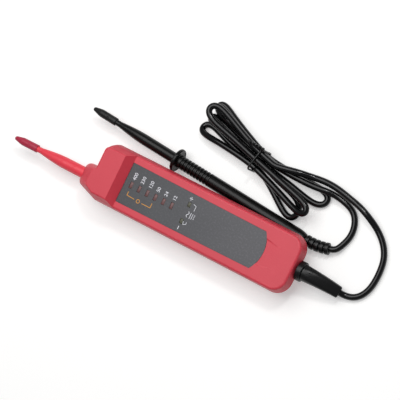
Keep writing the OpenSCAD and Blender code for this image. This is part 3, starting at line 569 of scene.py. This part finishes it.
def carved(piece, cutters, operation="DIFFERENCE"):
    """The piece with each cutter taken away from it, or added to it."""
    for cutter in cutters:
        cut = piece.modifiers.new(cutter.name, "BOOLEAN")
        cut.operation = operation
        cut.solver = "EXACT"
        cut.object = cutter
    baked(piece)
    piece.data.set_sharp_from_angle(angle=radians(30))
    for cutter in cutters:
        bpy.data.objects.remove(cutter)
    return piece


def softened(piece, width, angle=30):
    """The piece with its hard edges rounded, as a mould leaves them."""
    bevel = piece.modifiers.new("edges", "BEVEL")
    bevel.width = width * MM
    bevel.segments = 2
    bevel.limit_method = "ANGLE"
    bevel.angle_limit = radians(angle)
    bevel.harden_normals = True
    baked(piece)
    piece.data.shade_smooth()
    piece.data.set_sharp_from_angle(angle=radians(40))
    return piece


def weighted(piece):
    """Large faces lead the shading, so a flat stays flat beside its rounded edge."""
    normals = piece.modifiers.new("normals", "WEIGHTED_NORMAL")
    normals.keep_sharp = True
    return baked(piece)


# %% [markdown]
# The upper shell is a tray turned over: rails that lean in, a higher head, and a nose that holds the fixed
# probe. The rails and the head are two lofts joined into one skin, because one outline can't follow both.
# Between two levels the sizes follow a quarter of an ellipse, which gives the long soft rounding. The bed of
# the label, the slope behind it, the windows and the seats are cut, and screw towers are added.

# %% Upper shell
def eased(a, b, t):
    """Between two sets of sizes, as a quarter of an ellipse: the first size climbs, the others turn in."""
    first = a[0] + (b[0] - a[0]) * sin(pi / 2 * t)
    return [first] + [p + (q - p) * (1 - cos(pi / 2 * t)) for p, q in zip(a[1:], b[1:])]


EASE = [i / 6 for i in range(1, 7)]
BEYOND = 200
HIGH_WALL, HEAD_HOLLOW, GLAND_HOLD, SLEEVE_HOLD, PILOT_DEEP = 3.13, 12.7, 6.2, 6.6, 4
rails = [(SPLIT_Z - OVER, 0, 0), (SPLIT_Z, 0, 0), (SPLIT_Z + RIM, LEAN / 3, LEAN / 3)]
rails.append((DECK_Z - RIM / 2, LEAN, LEAN))
rails += [eased(rails[-1], (DECK_Z, 2.5 * LEAN, 2.5 * LEAN), t) for t in EASE]
heads = [
    (SPLIT_Z - OVER, 0, 0, 0), (SPLIT_Z, 0, 0, 0), (SPLIT_Z + RIM, LEAN / 3, LEAN / 3, NOSE_LEN / 16),
    (DECK_Z - RIM / 2, LEAN, LEAN, NOSE_LEN / 3), (DECK_Z, 1.1 * LEAN, 1.4 * LEAN, NOSE_LEN / 2),
    (HEAD_Z - HEAD_ROUND, 1.4 * LEAN, HEAD_LEAN - HEAD_ROUND, NOSE_LEN),
]
heads += [eased(heads[-1], (HEAD_Z, 1.4 * LEAN + HEAD_ROUND, HEAD_LEAN, NOSE_LEN), t) for t in EASE]
upper = loft("upper_shell_skin", [rail_ring(*g) for g in rails])
carved(upper, [loft("head", [head_ring(*g) for g in heads])], "UNION")
inner_r = REAR_R - WALL, FRONT_R - WALL
above = SPLIT_Z + RIM / 2
hollow_low = prism("hollow_low", outline(WALL, WALL, *inner_r), SPLIT_Z - OVER, SPLIT_Z + RIM)
hollow_high = prism("hollow_high", outline(HIGH_WALL, HIGH_WALL, *inner_r), above, ROOF_Z)
head_ends = X_HEAD + WALL, X_FRONT - 2 * WALL
hollow_head = block("hollow_head", *head_ends, -HEAD_HOLLOW, HEAD_HOLLOW, above, HEAD_Z - WALL)
below = block("level", -BEYOND, BEYOND, -60, 60, SPLIT_Z - 1, SPLIT_Z)
carved(upper, [below, hollow_low, hollow_high, hollow_head])
into_roof = ROOF_Z + WALL / 4
towers = [post("tower", p, SPLIT_Z, into_roof, TOWER_D) for p in SCREWS]
towers.append(block("gland_block", X_REAR + WALL / 2, X_REAR + 6, -GLAND_HOLD, GLAND_HOLD, SPLIT_Z, into_roof))
hold = PROBE_Y - SLEEVE_HOLD, PROBE_Y + SLEEVE_HOLD
towers.append(block("nose_block", SLEEVE_ROOT, X_FRONT, *hold, SPLIT_Z, ROOF_Z))
carved(upper, towers, "UNION")
RAMP_0, RAMP_LEN, RAMP_SIDE, RAMP_TOP = X_LABEL - LABEL_LEN + OVER, 16, 1.4, DECK_Z + 1
ramp_flare = RAMP_SIDE / (DECK_Z - LABEL_Z)
ramp_rings = []
for x, w, z in ((RAMP_0, LABEL_REAR_W / 3, LABEL_Z), (RAMP_0 - RAMP_LEN, LABEL_REAR_W / 4, DECK_Z)):
    top = w + ramp_flare * (RAMP_TOP - z)
    ramp_rings.append([(x, -w, z), (x, w, z), (x, top, RAMP_TOP), (x, -top, RAMP_TOP)])
bed = prism("bed", label_outline(FIT), LABEL_Z, DECK_Z + 3)
carved(upper, [bed, loft("ramp", ramp_rings, 1)] + seats())
holes = openings("window", WINDOWS, PANE, ROOF_Z - OVER, DECK_Z)
holes += openings("window", POLARITY, POLE_PANE, ROOF_Z - OVER, DECK_Z)
holes += [post("pilot", p, SPLIT_Z - OVER, SPLIT_Z + PILOT_DEEP, PILOT_D) for p in SCREWS]
carved(upper, holes)
weighted(softened(upper, 0.25, 33))
dressed(upper, BODY, "red_shell", abs_red, "upper_shell")
print("upper shell faces:", len(upper.data.polygons))

# %% [markdown]
# The lower shell narrows towards the table, so its outline shrinks below the parting line. The same kind of
# loft makes its skin and, one wall further in, its hollow. The screw heads sink into round recesses from
# below, and two grooves in the rim take the seal.

# %% Lower shell
SCREW_HEAD_DEEP = 1.45
SEAL_END, SEAL_Y, SEAL_W, SEAL_DEEP = 49.95, 17.8, 0.9, 0.8


def flare_at(z):
    """How far the lower shell has drawn in at a level."""
    return FLARE * (SPLIT_Z - z) / SPLIT_Z


def lower_ring(z, inset, r_in):
    lean = flare_at(z)
    corners = REAR_R - r_in - lean / 2, FRONT_R - r_in - lean / 3
    return [(x, y, z) for x, y in outline(lean + inset, lean + inset, *corners)]


def nose_ring(z, nose_in, side_in):
    xn, r = X_NOSE - nose_in, NOSE_W / 4
    h = BODY_W / 2 - flare_at(z) - FIT / 2
    ring = [(SLEEVE_ROOT, NOSE_Y0 + side_in)] + arc(xn - r, NOSE_Y0 + side_in + r, r, 270, 360, NOSE_STEPS)
    ring += arc(xn - r, NOSE_Y1 - side_in - r, r, 0, NOSE_TURN, NOSE_STEPS)
    return [(x, y, z) for x, y in ring + [(X_FRONT - TAPER, h), (SLEEVE_ROOT, h)]]


lower = loft("lower_shell_skin", [lower_ring(z, 0, 0) for z in (0, SPLIT_Z / 2, SPLIT_Z)])
hollow = [lower_ring(z, WALL, WALL / 2) for z in (WALL, SPLIT_Z / 2)]
hollow += [[(x, y, z) for x, y in outline(WALL, WALL, *inner_r)] for z in (SPLIT_Z, SPLIT_Z + OVER)]
carved(lower, [loft("cavity", hollow)])
nose = loft("nose", [
    nose_ring(SPLIT_Z - SLEEVE_D / 2 - WALL, NOSE_LEN * 0.6, WALL),
    nose_ring(SPLIT_Z - SLEEVE_D / 2, NOSE_LEN / 5, WALL / 3),
    nose_ring(SPLIT_Z - WALL / 2, HEAD_ROUND / 3, 0), nose_ring(SPLIT_Z, 0, 0),
])
carved(lower, [nose] + [post("tower", p, WALL / 2, SPLIT_Z, TOWER_D) for p in SCREWS], "UNION")
cuts = seats() + [post("shank", p, -OVER, SPLIT_Z + OVER, SHANK_D) for p in SCREWS]
cuts += [post("head", p, -OVER, SCREW_HEAD_DEEP, SCREW_HEAD_D) for p in SCREWS]
for y in (-SEAL_Y, SEAL_Y):
    sides = y - SEAL_W / 2, y + SEAL_W / 2
    cuts.append(block("groove", -SEAL_END, SEAL_END, *sides, SPLIT_Z - SEAL_DEEP, SPLIT_Z + OVER))
carved(lower, cuts)
weighted(softened(lower, 0.3, 40))
# The lower shell wears the darker copy of the red, which is painted shade.
dressed(lower, BODY, "red_shell", abs_red_painted_shade, "lower_shell")
print("lower shell faces:", len(lower.data.polygons))

# %% [markdown]
# The label is a thin sheet of printed polycarbonate, glued into its bed. Its rear edge is an arc, and eight
# openings let the windows through.

# %% Label
SHEET_IOR = 1.58


def label_material():
    """A grey sheet, lighter at its rear, with fine specks and a satin face."""
    material, tree, shader, place = new_material("printed_polycarbonate_grey")
    fine, broad = noise(tree, place, 1.1, 3.0), noise(tree, place, 40, 1.0)
    along = add_node(tree, "ShaderNodeSeparateXYZ", {"Vector": place}).outputs["X"]
    speck = ranged(tree, fine, start=0.3, end=0.7)
    tone = mixed(tree, ranged(tree, along, start=-50 * MM, end=50 * MM), linear("#454449"), linear("#35373B"))
    light = ranged(tree, speck, 0.5, 1.5)
    grey = add_node(tree, "ShaderNodeCombineColor", {"Red": light, "Green": light, "Blue": light})
    feed(tree, shader, {
        "Base Color": mixed(tree, speck, tone, grey.outputs["Color"], blend_type="MULTIPLY"),
        "Roughness": ranged(tree, broad, 0.36, 0.5), "Normal": bumped(tree, fine, 0.02), "IOR": SHEET_IOR,
    })
    return material


through = 19, 21
label = prism("label_sheet", label_outline(0), LABEL_Z, LABEL_Z + LABEL_T)
carved(label, openings("gap", WINDOWS, PANE, *through))
carved(label, openings("gap", POLARITY, POLE_PANE, *through))
dressed(label, BODY, "label_grey", label_material(), "face_label")
print("label faces:", len(label.data.polygons))

# %% [markdown]
# The six light windows and the two polarity windows are small clear blocks. A row of equal blocks is made by
# Geometry Nodes: a line of points, one block put on each, made real and given a material.

# %% Windows in rows
PANE_Z = 16.3, 19.65


def row_tree():
    """Count copies of a unit, a step apart, as one real mesh with one material."""
    tree = bpy.data.node_groups.new("row_of_copies", "GeometryNodeTree")
    kinds = {"Unit": "Object", "Count": "Int", "Start": "Vector", "Step": "Vector", "Material": "Material"}
    for name, kind in kinds.items():
        tree.interface.new_socket(name, in_out="INPUT", socket_type="NodeSocket" + kind)
    tree.interface.new_socket("Geometry", in_out="OUTPUT", socket_type="NodeSocketGeometry")
    given = add_node(tree, "NodeGroupInput").outputs
    line = add_node(tree, "GeometryNodeMeshLine", {
        "Count": given["Count"], "Start Location": given["Start"], "Offset": given["Step"],
    })
    unit = add_node(tree, "GeometryNodeObjectInfo", {"Object": given["Unit"]})
    placed = add_node(tree, "GeometryNodeInstanceOnPoints", {
        "Points": line.outputs["Mesh"], "Instance": unit.outputs["Geometry"],
    })
    real = add_node(tree, "GeometryNodeRealizeInstances", {"Geometry": placed.outputs["Instances"]})
    finish = add_node(tree, "GeometryNodeSetMaterial", {
        "Geometry": real.outputs["Geometry"], "Material": given["Material"],
    })
    add_node(tree, "NodeGroupOutput", {"Geometry": finish.outputs["Geometry"]})
    return tree


ROW = row_tree()


def row(name, unit, count, start, step, material):
    """The unit repeated along a line, in mm, as a plain mesh."""
    piece = new_object(name, bpy.data.meshes.new(name))
    nodes = piece.modifiers.new("row", "NODES")
    nodes.node_group = ROW
    values = {"Unit": unit, "Count": count, "Material": material}
    values.update(Start=list(Vector(start) * MM), Step=list(Vector(step) * MM))
    for socket in ROW.interface.items_tree:
        if socket.in_out == "INPUT":
            nodes[socket.identifier] = values[socket.name]
    baked(piece)
    bpy.data.objects.remove(unit)
    return piece


def clear_plastic(name, colour):
    """Moulded clear polycarbonate: light goes in, meets the dark shield below, and little comes back."""
    material, tree, shader, place = new_material(name)
    tone = mixed(tree, noise(tree, place, 1.5, 2.0), linear(colour), linear(colour, 0.8))
    feed(tree, shader, {"Base Color": tone, "Roughness": 0.5, "IOR": SHEET_IOR})
    return material


def pane_unit(half):
    return softened(block("pane", -half[0], half[0], -half[1], half[1], *PANE_Z), 0.15)


window_red = clear_plastic("moulded_polycarbonate_smoky_red", "#75504F")
window_olive = clear_plastic("moulded_polycarbonate_olive", "#5A5A48")
first = (*WINDOWS[0], 0)
windows = row("voltage_windows", pane_unit(PANE), len(WINDOWS), first, (-WINDOW_PITCH, 0, 0), window_red)
first = (*POLARITY[0], 0)
poles = row("polarity_windows", pane_unit(POLE_PANE), len(POLARITY), first, (0, 2 * POLE_Y, 0), window_olive)
dressed(windows, BODY, "window_clear", window_red, "voltage_lenses")
dressed(poles, BODY, "window_olive", window_olive, "polarity_lenses")
print("windows:", len(windows.data.polygons), "faces")

# %% [markdown]
# The print on the label is ink, a hair thick, so each mark is a flat closed mesh just above the sheet. A
# stroke is a path with a width, and a number is a text curve turned into a mesh and then placed.

# %% Ink, strokes and numbers
INK_Z, INK_T = LABEL_Z + LABEL_T + 0.01, 0.04
FIGURE_SIZE, FIGURE_BOLDER = 3.2, 0.02
LONGEST_MITRE = 0.4


def ink(name, colour):
    """Screen-printed ink, dull, a little uneven where the mesh of the screen left it thin."""
    return moulded(name, colour, colour, 0.5, 0.25, 0.005)


def stroke(points, width):
    """A flat line with mitred corners through points on the label, in mm; it closes where it comes back."""
    line = [Vector(p) for p in points]
    closed = (line[0] - line[-1]).length < MERGE
    if not closed:
        line[0] += (line[0] - line[1]).normalized() * width / 2
        line[-1] += (line[-1] - line[-2]).normalized() * width / 2
    ways = [(q - p).normalized() for p, q in zip(line, line[1:])]
    before = [ways[-1] if closed else ways[0]] + ways
    after = ways + [ways[0] if closed else ways[-1]]
    rings = []
    for p, u, v in zip(line, before, after):
        along = (u + v).normalized()
        side = Vector((-along.y, along.x)) * width / 2 / max(LONGEST_MITRE, along.dot(v))
        l, r = p - side, p + side
        rings.append([(*l, INK_Z), (*r, INK_Z), (*r, INK_Z + INK_T), (*l, INK_Z + INK_T)])
    return loft("stroke", rings)


def number(text, x, y):
    """Figures whose top points to the head of the tester."""
    curve = bpy.data.curves.new("figures", "FONT")
    curve.body = text
    curve.size = FIGURE_SIZE * MM
    curve.extrude = INK_T / 2 * MM
    curve.offset = FIGURE_BOLDER * MM
    curve.align_x = curve.align_y = "CENTER"
    flat = new_object("figures", curve)
    mesh = evaluated(flat)
    bpy.data.objects.remove(flat)
    turn = Matrix.Rotation(radians(-90), 4, "Z")
    mesh.transform(Matrix.Translation(Vector((x, y, INK_Z + INK_T / 2)) * MM) @ turn)
    return new_object("figures", mesh)


# %% [markdown]
# The marks are plain numbers beside the six windows, brackets that join windows, and signs for plus, minus
# and alternating current. One piece holds the marks of one colour.

# %% Printed marks
def joined(name, pieces):
    """One object from several, whose own objects go."""
    shape = bmesh.new()
    for piece in pieces:
        shape.from_mesh(piece.data)
    mesh = bpy.data.meshes.new(name)
    shape.to_mesh(mesh)
    shape.free()
    for piece in pieces:
        bpy.data.objects.remove(piece)
    return new_object(name, mesh)


white_ink = ink("screen_printed_ink_white", "#E4E4EA")
orange_ink = ink("screen_printed_ink_orange", "#DC9630")
FIGURES = (
    ("400", 46, -5.9), ("230", 40.1, -6), ("120", 34, -5.8),
    ("50", 28.3, -5.2), ("24", 22.5, -5), ("12", 16.2, -5),
)
marks = [number(*figure) for figure in FIGURES]
signs = [[(5.6, -9.3), (7.4, -9.3)], [(6.5, -10.2), (6.5, -8.4)], [(6.2, 9), (6.2, 10.8)]]
joins = [[(3.4, -6.9), (1.5, -6.3), (1.5, -3.2)], [(4.9, 5.2), (4.3, 7), (2.6, 6.2), (2.6, 5)]]
wave = [(4.3 + 0.6 * sin(2 * pi * t / 12), 1.9 - 3.4 * t / 12) for t in range(13)]
bars = [[(2.4, 2.2), (2.4, -1.4)], [(1.1, 2), (1.1, -1.2)]]
bars += [[(-0.3, 1.6 - 1.1 * k), (-0.3, 1.1 - 1.1 * k)] for k in range(3)]
for lines, width in ((signs, 0.45), (joins, 0.3), ([wave], 0.4), (bars, 0.35)):
    marks += [stroke(line, width) for line in lines]
print("white marks:", len(marks))
dressed(joined("white_print", marks), BODY, "label_grey", white_ink)
brackets = [[(46, 4.4), (46, 6.6), (40.6, 6.9)], [(34.6, 7.2), (28.5, 7.2), (28.5, 4.4)]]
marks = [stroke(line, 0.4) for line in brackets + [arc(37.6, 7, 1.1, 0, 360, 16)]]
dressed(joined("orange_print", marks), BODY, "label_grey", orange_ink)

# %% [markdown]
# The probes are turned shapes. A profile of radius against length goes once round the axis, and a profile
# that comes back along its bore gives a real wall.

# %% Turned shapes
TURNED_SIDES, TURNED_MERGE, CORNER_CUTS = 64, 1e-7, 4
BALL_RINGS, BALL_SIDES = 13, 24


def turned(name, profile, place):
    """A closed profile of (radius, x) points turned once round the x axis, in mm, and put in its place."""
    points, faces, count = [], [], len(profile)
    for k in range(TURNED_SIDES):
        a = 2 * pi * k / TURNED_SIDES
        points += [place(Vector((x, r * cos(a), r * sin(a)))) for r, x in profile]
        for i in range(count):
            j = (i + 1) % count
            n = (k + 1) % TURNED_SIDES * count
            if profile[i][0] > 0 or profile[j][0] > 0:
                faces.append((k * count + i, k * count + j, n + j, n + i))
    return solid(name, points, faces, 30, TURNED_MERGE)


def rounded(profile, cuts):
    """The profile with some corners cut to arcs: cuts gives the radius for a corner's index."""
    out = []
    for i, corner in enumerate(profile):
        if i not in cuts:
            out.append(corner)
            continue
        here, before, after = Vector(corner), Vector(profile[i - 1]), Vector(profile[(i + 1) % len(profile)])
        a = here + (before - here).normalized() * cuts[i]
        b = here + (after - here).normalized() * cuts[i]
        for t in (k / CORNER_CUTS for k in range(CORNER_CUTS + 1)):
            out.append(tuple((1 - t) ** 2 * a + 2 * t * (1 - t) * here + t * t * b))
    return out


def ball(name, place, radii):
    """A small ellipsoid, which cuts a dimple or stands as a low oval pad."""
    turns = [2 * pi * k / BALL_SIDES for k in range(BALL_SIDES)]
    rings = []
    for i in range(BALL_RINGS):
        a = pi * (i + 0.5) / BALL_RINGS
        x, y, z = radii[0] * cos(a), radii[1] * sin(a), radii[2] * sin(a)
        rings.append([place + Vector((x, y * cos(b), z * sin(b))) for b in turns])
    return loft(name, rings, 60)


# %% [markdown]
# The fixed probe's sleeve swells in an ogive behind a thin neck, and each tip wears a soft cap whose open rim
# shows round the neck. Each probe and each cap has a frame of its own, whose x runs towards the tip.

# %% Sleeves and caps
BORE_R, NECK_R, NECK_HALF, NECK_EDGE, OGIVE_LEN = 1.05, 1.9, 3, 0.2, 20
FIXED_LEN, SECOND_LEN, SECOND_D = 36, 47, 6.9


def front_profile(length, d, root):
    """A probe's sleeve, from its bore out over the thin neck and down the ogive to its root."""
    tip, swell = length + NECK_HALF, d / 2 - NECK_R
    ogive = []
    for i in range(OGIVE_LEN + 1):
        ogive.append((NECK_R + swell * sin(pi / 2 * i / OGIVE_LEN), length - NECK_HALF - i))
    neck = [(NECK_R - NECK_EDGE, tip), (NECK_R, tip - NECK_EDGE), (NECK_R, length - NECK_HALF + NECK_EDGE)]
    return [(BORE_R, -root), (BORE_R, tip)] + neck + ogive + [(d / 2, -root)]


def fixed(p):
    return Vector((X_NOSE, PROBE_Y, SPLIT_Z)) + p


def fixed_cap(p):
    return Vector((X_NOSE + FIXED_LEN, PROBE_Y, SPLIT_Z)) + p


def second(p):
    return second_at(*p)


def second_cap(p):
    return second_at(p.x + SECOND_LEN, p.y, p.z)


CAP_R = 2.5
CAP = rounded([
    (0, 16), (BORE_R, 16), (BORE_R, 3.05), (2.0, 3.05), (2.0, 0), (CAP_R, 0), (CAP_R, 11.8),
    (1.3, 17.15), (0.65, 17.8), (0, 17.8),
], {4: 0.12, 5: 0.2, 6: 0.9, 7: 0.3, 8: 0.2})


def soft_cap(name, place):
    """A cap with a small pip sunk in its side."""
    return carved(turned(name, CAP, place), [ball("pip", place(Vector((6, 0, CAP_R))), (0.6, 0.6, 0.4))])


sleeve = turned("fixed_probe_sleeve", front_profile(FIXED_LEN, SLEEVE_D, X_NOSE - SLEEVE_ROOT), fixed)
ovals = [ball("oval", fixed(Vector((x, 0, SLEEVE_D / 2 - 0.3))), (2.6, 1.3, 0.4)) for x in (5.5, 14)]
x0, x1 = (x - X_NOSE for x in SLEEVE_RIM)
rim = turned("fixed_probe_rim", [(2.6, x0), (SLEEVE_RIM_R, x0), (SLEEVE_RIM_R, x1), (2.6, x1)], fixed)
dressed(joined("fixed_sleeve", [sleeve, rim] + ovals), BODY, "red_sleeve", pp_red, "live_probe_sleeve")
dressed(soft_cap("fixed_cap", fixed_cap), "live_cap", "red_cap", pvc_red, "live_tip_cap")
sleeve = turned("second_sleeve", front_profile(SECOND_LEN, SECOND_D, 0), second)
dressed(sleeve, BODY, "black_plastic", pp_black, "second_probe_sleeve")
dressed(soft_cap("black_cap", second_cap), "second_cap", "black_plastic", pvc_black, "second_tip_cap")

# %% [markdown]
# The second probe's handle has a finger guard, a smooth hub, a ribbed grip and a plain shank. The nine ribs
# are alike, so one rib is turned and Geometry Nodes repeat it along the handle's axis.

# %% Handle, ribs and bend relief
GUARD_T, HUB_LEN, HUB_R, GUARD_R, REAR_BORE_R = 2.2, 2.5, 4.2, 7.6, 2.3
GRIP_R, LOW_R, PITCH, RIBS = 4.15, 3.45, 2.4, 9
RIB_0 = -GUARD_T - HUB_LEN
RIB_1 = RIB_0 - RIBS * PITCH
RIB_ROOT = LOW_R - 0.2
handle = turned("handle", rounded([
    (BORE_R, 0), (7.2, 0), (GUARD_R, -0.55), (GUARD_R, -1.65), (7.2, -GUARD_T), (6.7, -GUARD_T), (6.4, -1.95),
    (4.6, -1.95), (HUB_R, -GUARD_T), (HUB_R, RIB_0), (LOW_R, RIB_0), (LOW_R, RIB_1), (GRIP_R, RIB_1),
    (GRIP_R, HANDLE_END + 4), (3.2, HANDLE_END), (REAR_BORE_R, HANDLE_END),
    (REAR_BORE_R, -11.95), (BORE_R, -11.95),
], {2: 0.25, 3: 0.25, 9: 0.25, 12: 0.25, 13: 2.0, 14: 0.8}), second)
rib = turned("rib", rounded([
    (RIB_ROOT, -PITCH * 0.34), (GRIP_R, -PITCH * 0.44), (GRIP_R, -PITCH * 0.94), (RIB_ROOT, -PITCH),
], {1: 0.25, 2: 0.25}), lambda p: probe_turn @ p)
ribs = row("ribs", rib, RIBS, second_at(RIB_0), probe_turn @ Vector((-PITCH, 0, 0)), pp_black)
dressed(joined("second_handle", [handle, ribs]), BODY, "black_plastic", pp_black, "second_probe_handle")

RELIEF_RINGS, RELIEF_R = 5, 2.6
# How far along one ring, and the radius there
RING_SHAPE = (
    (0.13, RELIEF_R), (0.16, 3.3), (0.21, 3.65), (0.27, 3.7),
    (0.78, 3.7), (0.84, 3.65), (0.89, 3.3), (0.92, RELIEF_R),
)
relief_t = [0.0] + [(i + share) / RELIEF_RINGS for i in range(RELIEF_RINGS) for share, _ in RING_SHAPE] + [1.0]
relief_r = [RELIEF_R] + [r for _, r in RING_SHAPE] * RELIEF_RINGS + [RELIEF_R]
relief = tube("relief", [boot_bend(t) for t in relief_t], relief_r, 32, sharp=50)
dressed(relief, BODY, "black_rubber", rubber_black, "second_probe_boot")
print("ribs:", RIBS, "relief faces:", len(relief.data.polygons))

# %% [markdown]
# The cord gland is moulded rubber. A rim held by the shells and a short collar carry a tail that droops to
# the table. The tail narrows and goes from round to nearly square, with a small moulded dimple in its side.

# %% Gland
COLLAR, COLLAR_R, GLAND_FRONT = (-75.6, -72.1), 6.2, -66
TAIL_X, TAIL_LEN, TAIL_SIDE, TAIL_DROP, TAIL_STEPS = -75.5, 22.5, 1.3, 7.45, 24
TAIL_R, TAIL_END_R, TAIL_SQUARE = 5.2, 3.3, 0.9


def tail_at(t):
    return Vector((TAIL_X - TAIL_LEN * t, TAIL_SIDE * t * t, SPLIT_Z - TAIL_DROP * t ** 1.5))


tail_t = [0, 0.04] + [i / TAIL_STEPS for i in range(2, TAIL_STEPS)] + [0.985, 1]
tail_r = [TAIL_R - 1.5 * t for t in tail_t[:-1]] + [TAIL_END_R]
tail = tube("tail", [tail_at(t) for t in tail_t], tail_r, 40, [TAIL_SQUARE * t for t in tail_t])
carved(tail, [ball("dimple", tail_at(0.2) + Vector((0, -1.2, 4.1)), (1.1, 1.1, 0.9))])
collar = turned("collar", rounded([
    (0, COLLAR[0]), (COLLAR_R, COLLAR[0]), (COLLAR_R, COLLAR[1]), (GLAND_NECK_R, COLLAR[1]),
    (GLAND_NECK_R, GLAND_RIM[0]), (GLAND_RIM_R, GLAND_RIM[0]), (GLAND_RIM_R, GLAND_RIM[1]),
    (GLAND_NECK_R, GLAND_RIM[1]), (GLAND_NECK_R, GLAND_FRONT), (0, GLAND_FRONT),
], {1: 0.6, 2: 0.3, 5: 0.2, 6: 0.2}), lambda p: p + Vector((0, 0, SPLIT_Z)))
dressed(joined("gland", [collar, tail]), BODY, "black_rubber", rubber_black, "cord_gland")

# %% [markdown]
# What stays from the solids keeps its mesh and gets a finish of its own: metal, glass-fibre board, resin
# and wire. A metal takes its colour as it mirrors, and its roughness says how it was made.

# %% Inner pieces
def metal(name, colour, rough, scratch_mm):
    """Drawn or plated metal, with fine streaks from the tool."""
    material, tree, shader, place = new_material(name)
    streaks = noise(tree, place, scratch_mm, 4.0)
    feed(tree, shader, {
        "Base Color": mixed(tree, streaks, linear(colour), linear(colour, 0.85)),
        "Roughness": ranged(tree, streaks, rough * 0.8, rough * 1.2), "Metallic": 1.0,
    })
    return material


FINISHES = {
    "shell_seals": seal_grey,
    "case_screws": metal("zinc_plated_steel", "#B9BCC0", 0.32, 0.4),
    "live_probe_rod second_probe_rod": metal("nickel_plated_brass", "#C9BFA6", 0.25, 0.3),
    "probe_crimp": metal("tinned_copper", "#C4BCB0", 0.4, 0.3),
    "light_shield": moulded("moulded_abs_black", "#1A1A1A", "#141414", 0.6, 0.4, 0.03),
    "circuit_board": moulded("fr4_board_green", "#1F5A33", "#184A2A", 0.35, 0.8, 0.02, coat=0.4),
    "voltage_leds polarity_leds": moulded("epoxy_led_white", "#E8E2D2", "#DCD4C0", 0.2, 0.6, 0.01),
    "input_resistors": moulded("lacquered_resistor_blue", "#6FA3C4", "#5F93B4", 0.35, 0.4, 0.02),
    "thermistors": moulded("dipped_thermistor_orange", "#C8702C", "#B86424", 0.4, 0.4, 0.03),
    "bridge_diodes controller_chip": moulded("moulded_epoxy_black", "#202022", "#18181A", 0.5, 0.3, 0.02),
    "capacitor": moulded("shrunk_pvc_sleeve_black", "#1B1F2A", "#151822", 0.3, 0.6, 0.02),
    "live_wire": moulded("extruded_pvc_red", "#B02828", "#A02222", 0.3, 0.8, 0.02),
    "return_wire probe_inner_wire": moulded("extruded_pvc_charcoal", "#1C1C1C", "#161616", 0.3, 0.8, 0.02),
}
meshes = [o for o in bpy.data.objects if o.type == "MESH"]
for names, material in FINISHES.items():
    for piece in [o for o in meshes if o.name.split(".")[0] in names.split()]:
        if not piece.material_slots:
            piece.data.materials.append(material)
        for slot in piece.material_slots:
            slot.material = material
        print("finished:", piece.name)

# %% [markdown]
# The studio is a white table under a large soft lamp, nearly overhead on the upper right, with a weaker one
# opposite. The sky gives the rest.

# %% Lamps and sky
def lamp(name, direction, distance, size, watts):
    light = bpy.data.lights.new(name, "AREA")
    light.shape = "DISK"
    light.size = size
    light.energy = watts
    piece = new_object(name, light)
    ray = direction.normalized()
    piece.matrix_world = Matrix.Translation(ray * distance) @ ray.to_track_quat("Z", "Y").to_matrix().to_4x4()
    return piece


lamp("soft_box", Vector((0.2, -0.25, 1)), distance=0.9, size=0.8, watts=5.0)
lamp("side_lamp", up + right * 0.45 - down * 0.45, distance=1.0, size=0.14, watts=1.6)
SKY_STRENGTH = 0.28
WHITE = (1, 1, 1, 1)
world = bpy.data.worlds.new("studio")
bpy.context.scene.world = world
world.use_nodes = True
sky = world.node_tree
sky.nodes.clear()
rays = add_node(sky, "ShaderNodeLightPath").outputs
room = add_node(sky, "ShaderNodeBackground", {"Color": linear("#F4F6FA"), "Strength": SKY_STRENGTH})
white = add_node(sky, "ShaderNodeBackground", {"Color": WHITE, "Strength": 1.0})
shown = {"Fac": rays["Is Camera Ray"], 1: room.outputs["Background"], 2: white.outputs["Background"]}
seen = add_node(sky, "ShaderNodeMixShader", shown)
add_node(sky, "ShaderNodeOutputWorld", {"Surface": seen.outputs["Shader"]})
print("lamps:", len(bpy.data.lights))

# %% [markdown]
# The table is matt white card. It glows a little where the camera or a reflection sees it, so that it shows
# as pure white wherever no shadow falls, and that glow lights nothing else.

# %% Table
TABLE_GLOW, TABLE_HALF, TABLE_Z = 0.34, 3000, -0.05


def worked_out(tree, operation, a, b):
    return add_node(tree, "ShaderNodeMath", {0: a, 1: b}, operation=operation).outputs["Value"]


corners = [(-1, -1), (1, -1), (1, 1), (-1, 1)]
floor = solid("table", [(x * TABLE_HALF, y * TABLE_HALF, TABLE_Z) for x, y in corners], [(0, 1, 2, 3)])
card, tree, shader, _ = new_material("matt_white_card")
rays = add_node(tree, "ShaderNodeLightPath").outputs
glow = worked_out(tree, "MAXIMUM", rays["Is Camera Ray"], rays["Is Glossy Ray"])
glow = worked_out(tree, "MAXIMUM", glow, rays["Is Transmission Ray"])
feed(tree, shader, {
    "Base Color": linear("#E9E8E6"), "Roughness": 0.9, "Specular IOR Level": 0.1, "Emission Color": WHITE,
    "Emission Strength": worked_out(tree, "MULTIPLY", glow, TABLE_GLOW),
})
floor.data.materials.append(card)
bpy.context.scene.view_settings.view_transform = "Standard"
print("table at z in mm:", TABLE_Z)
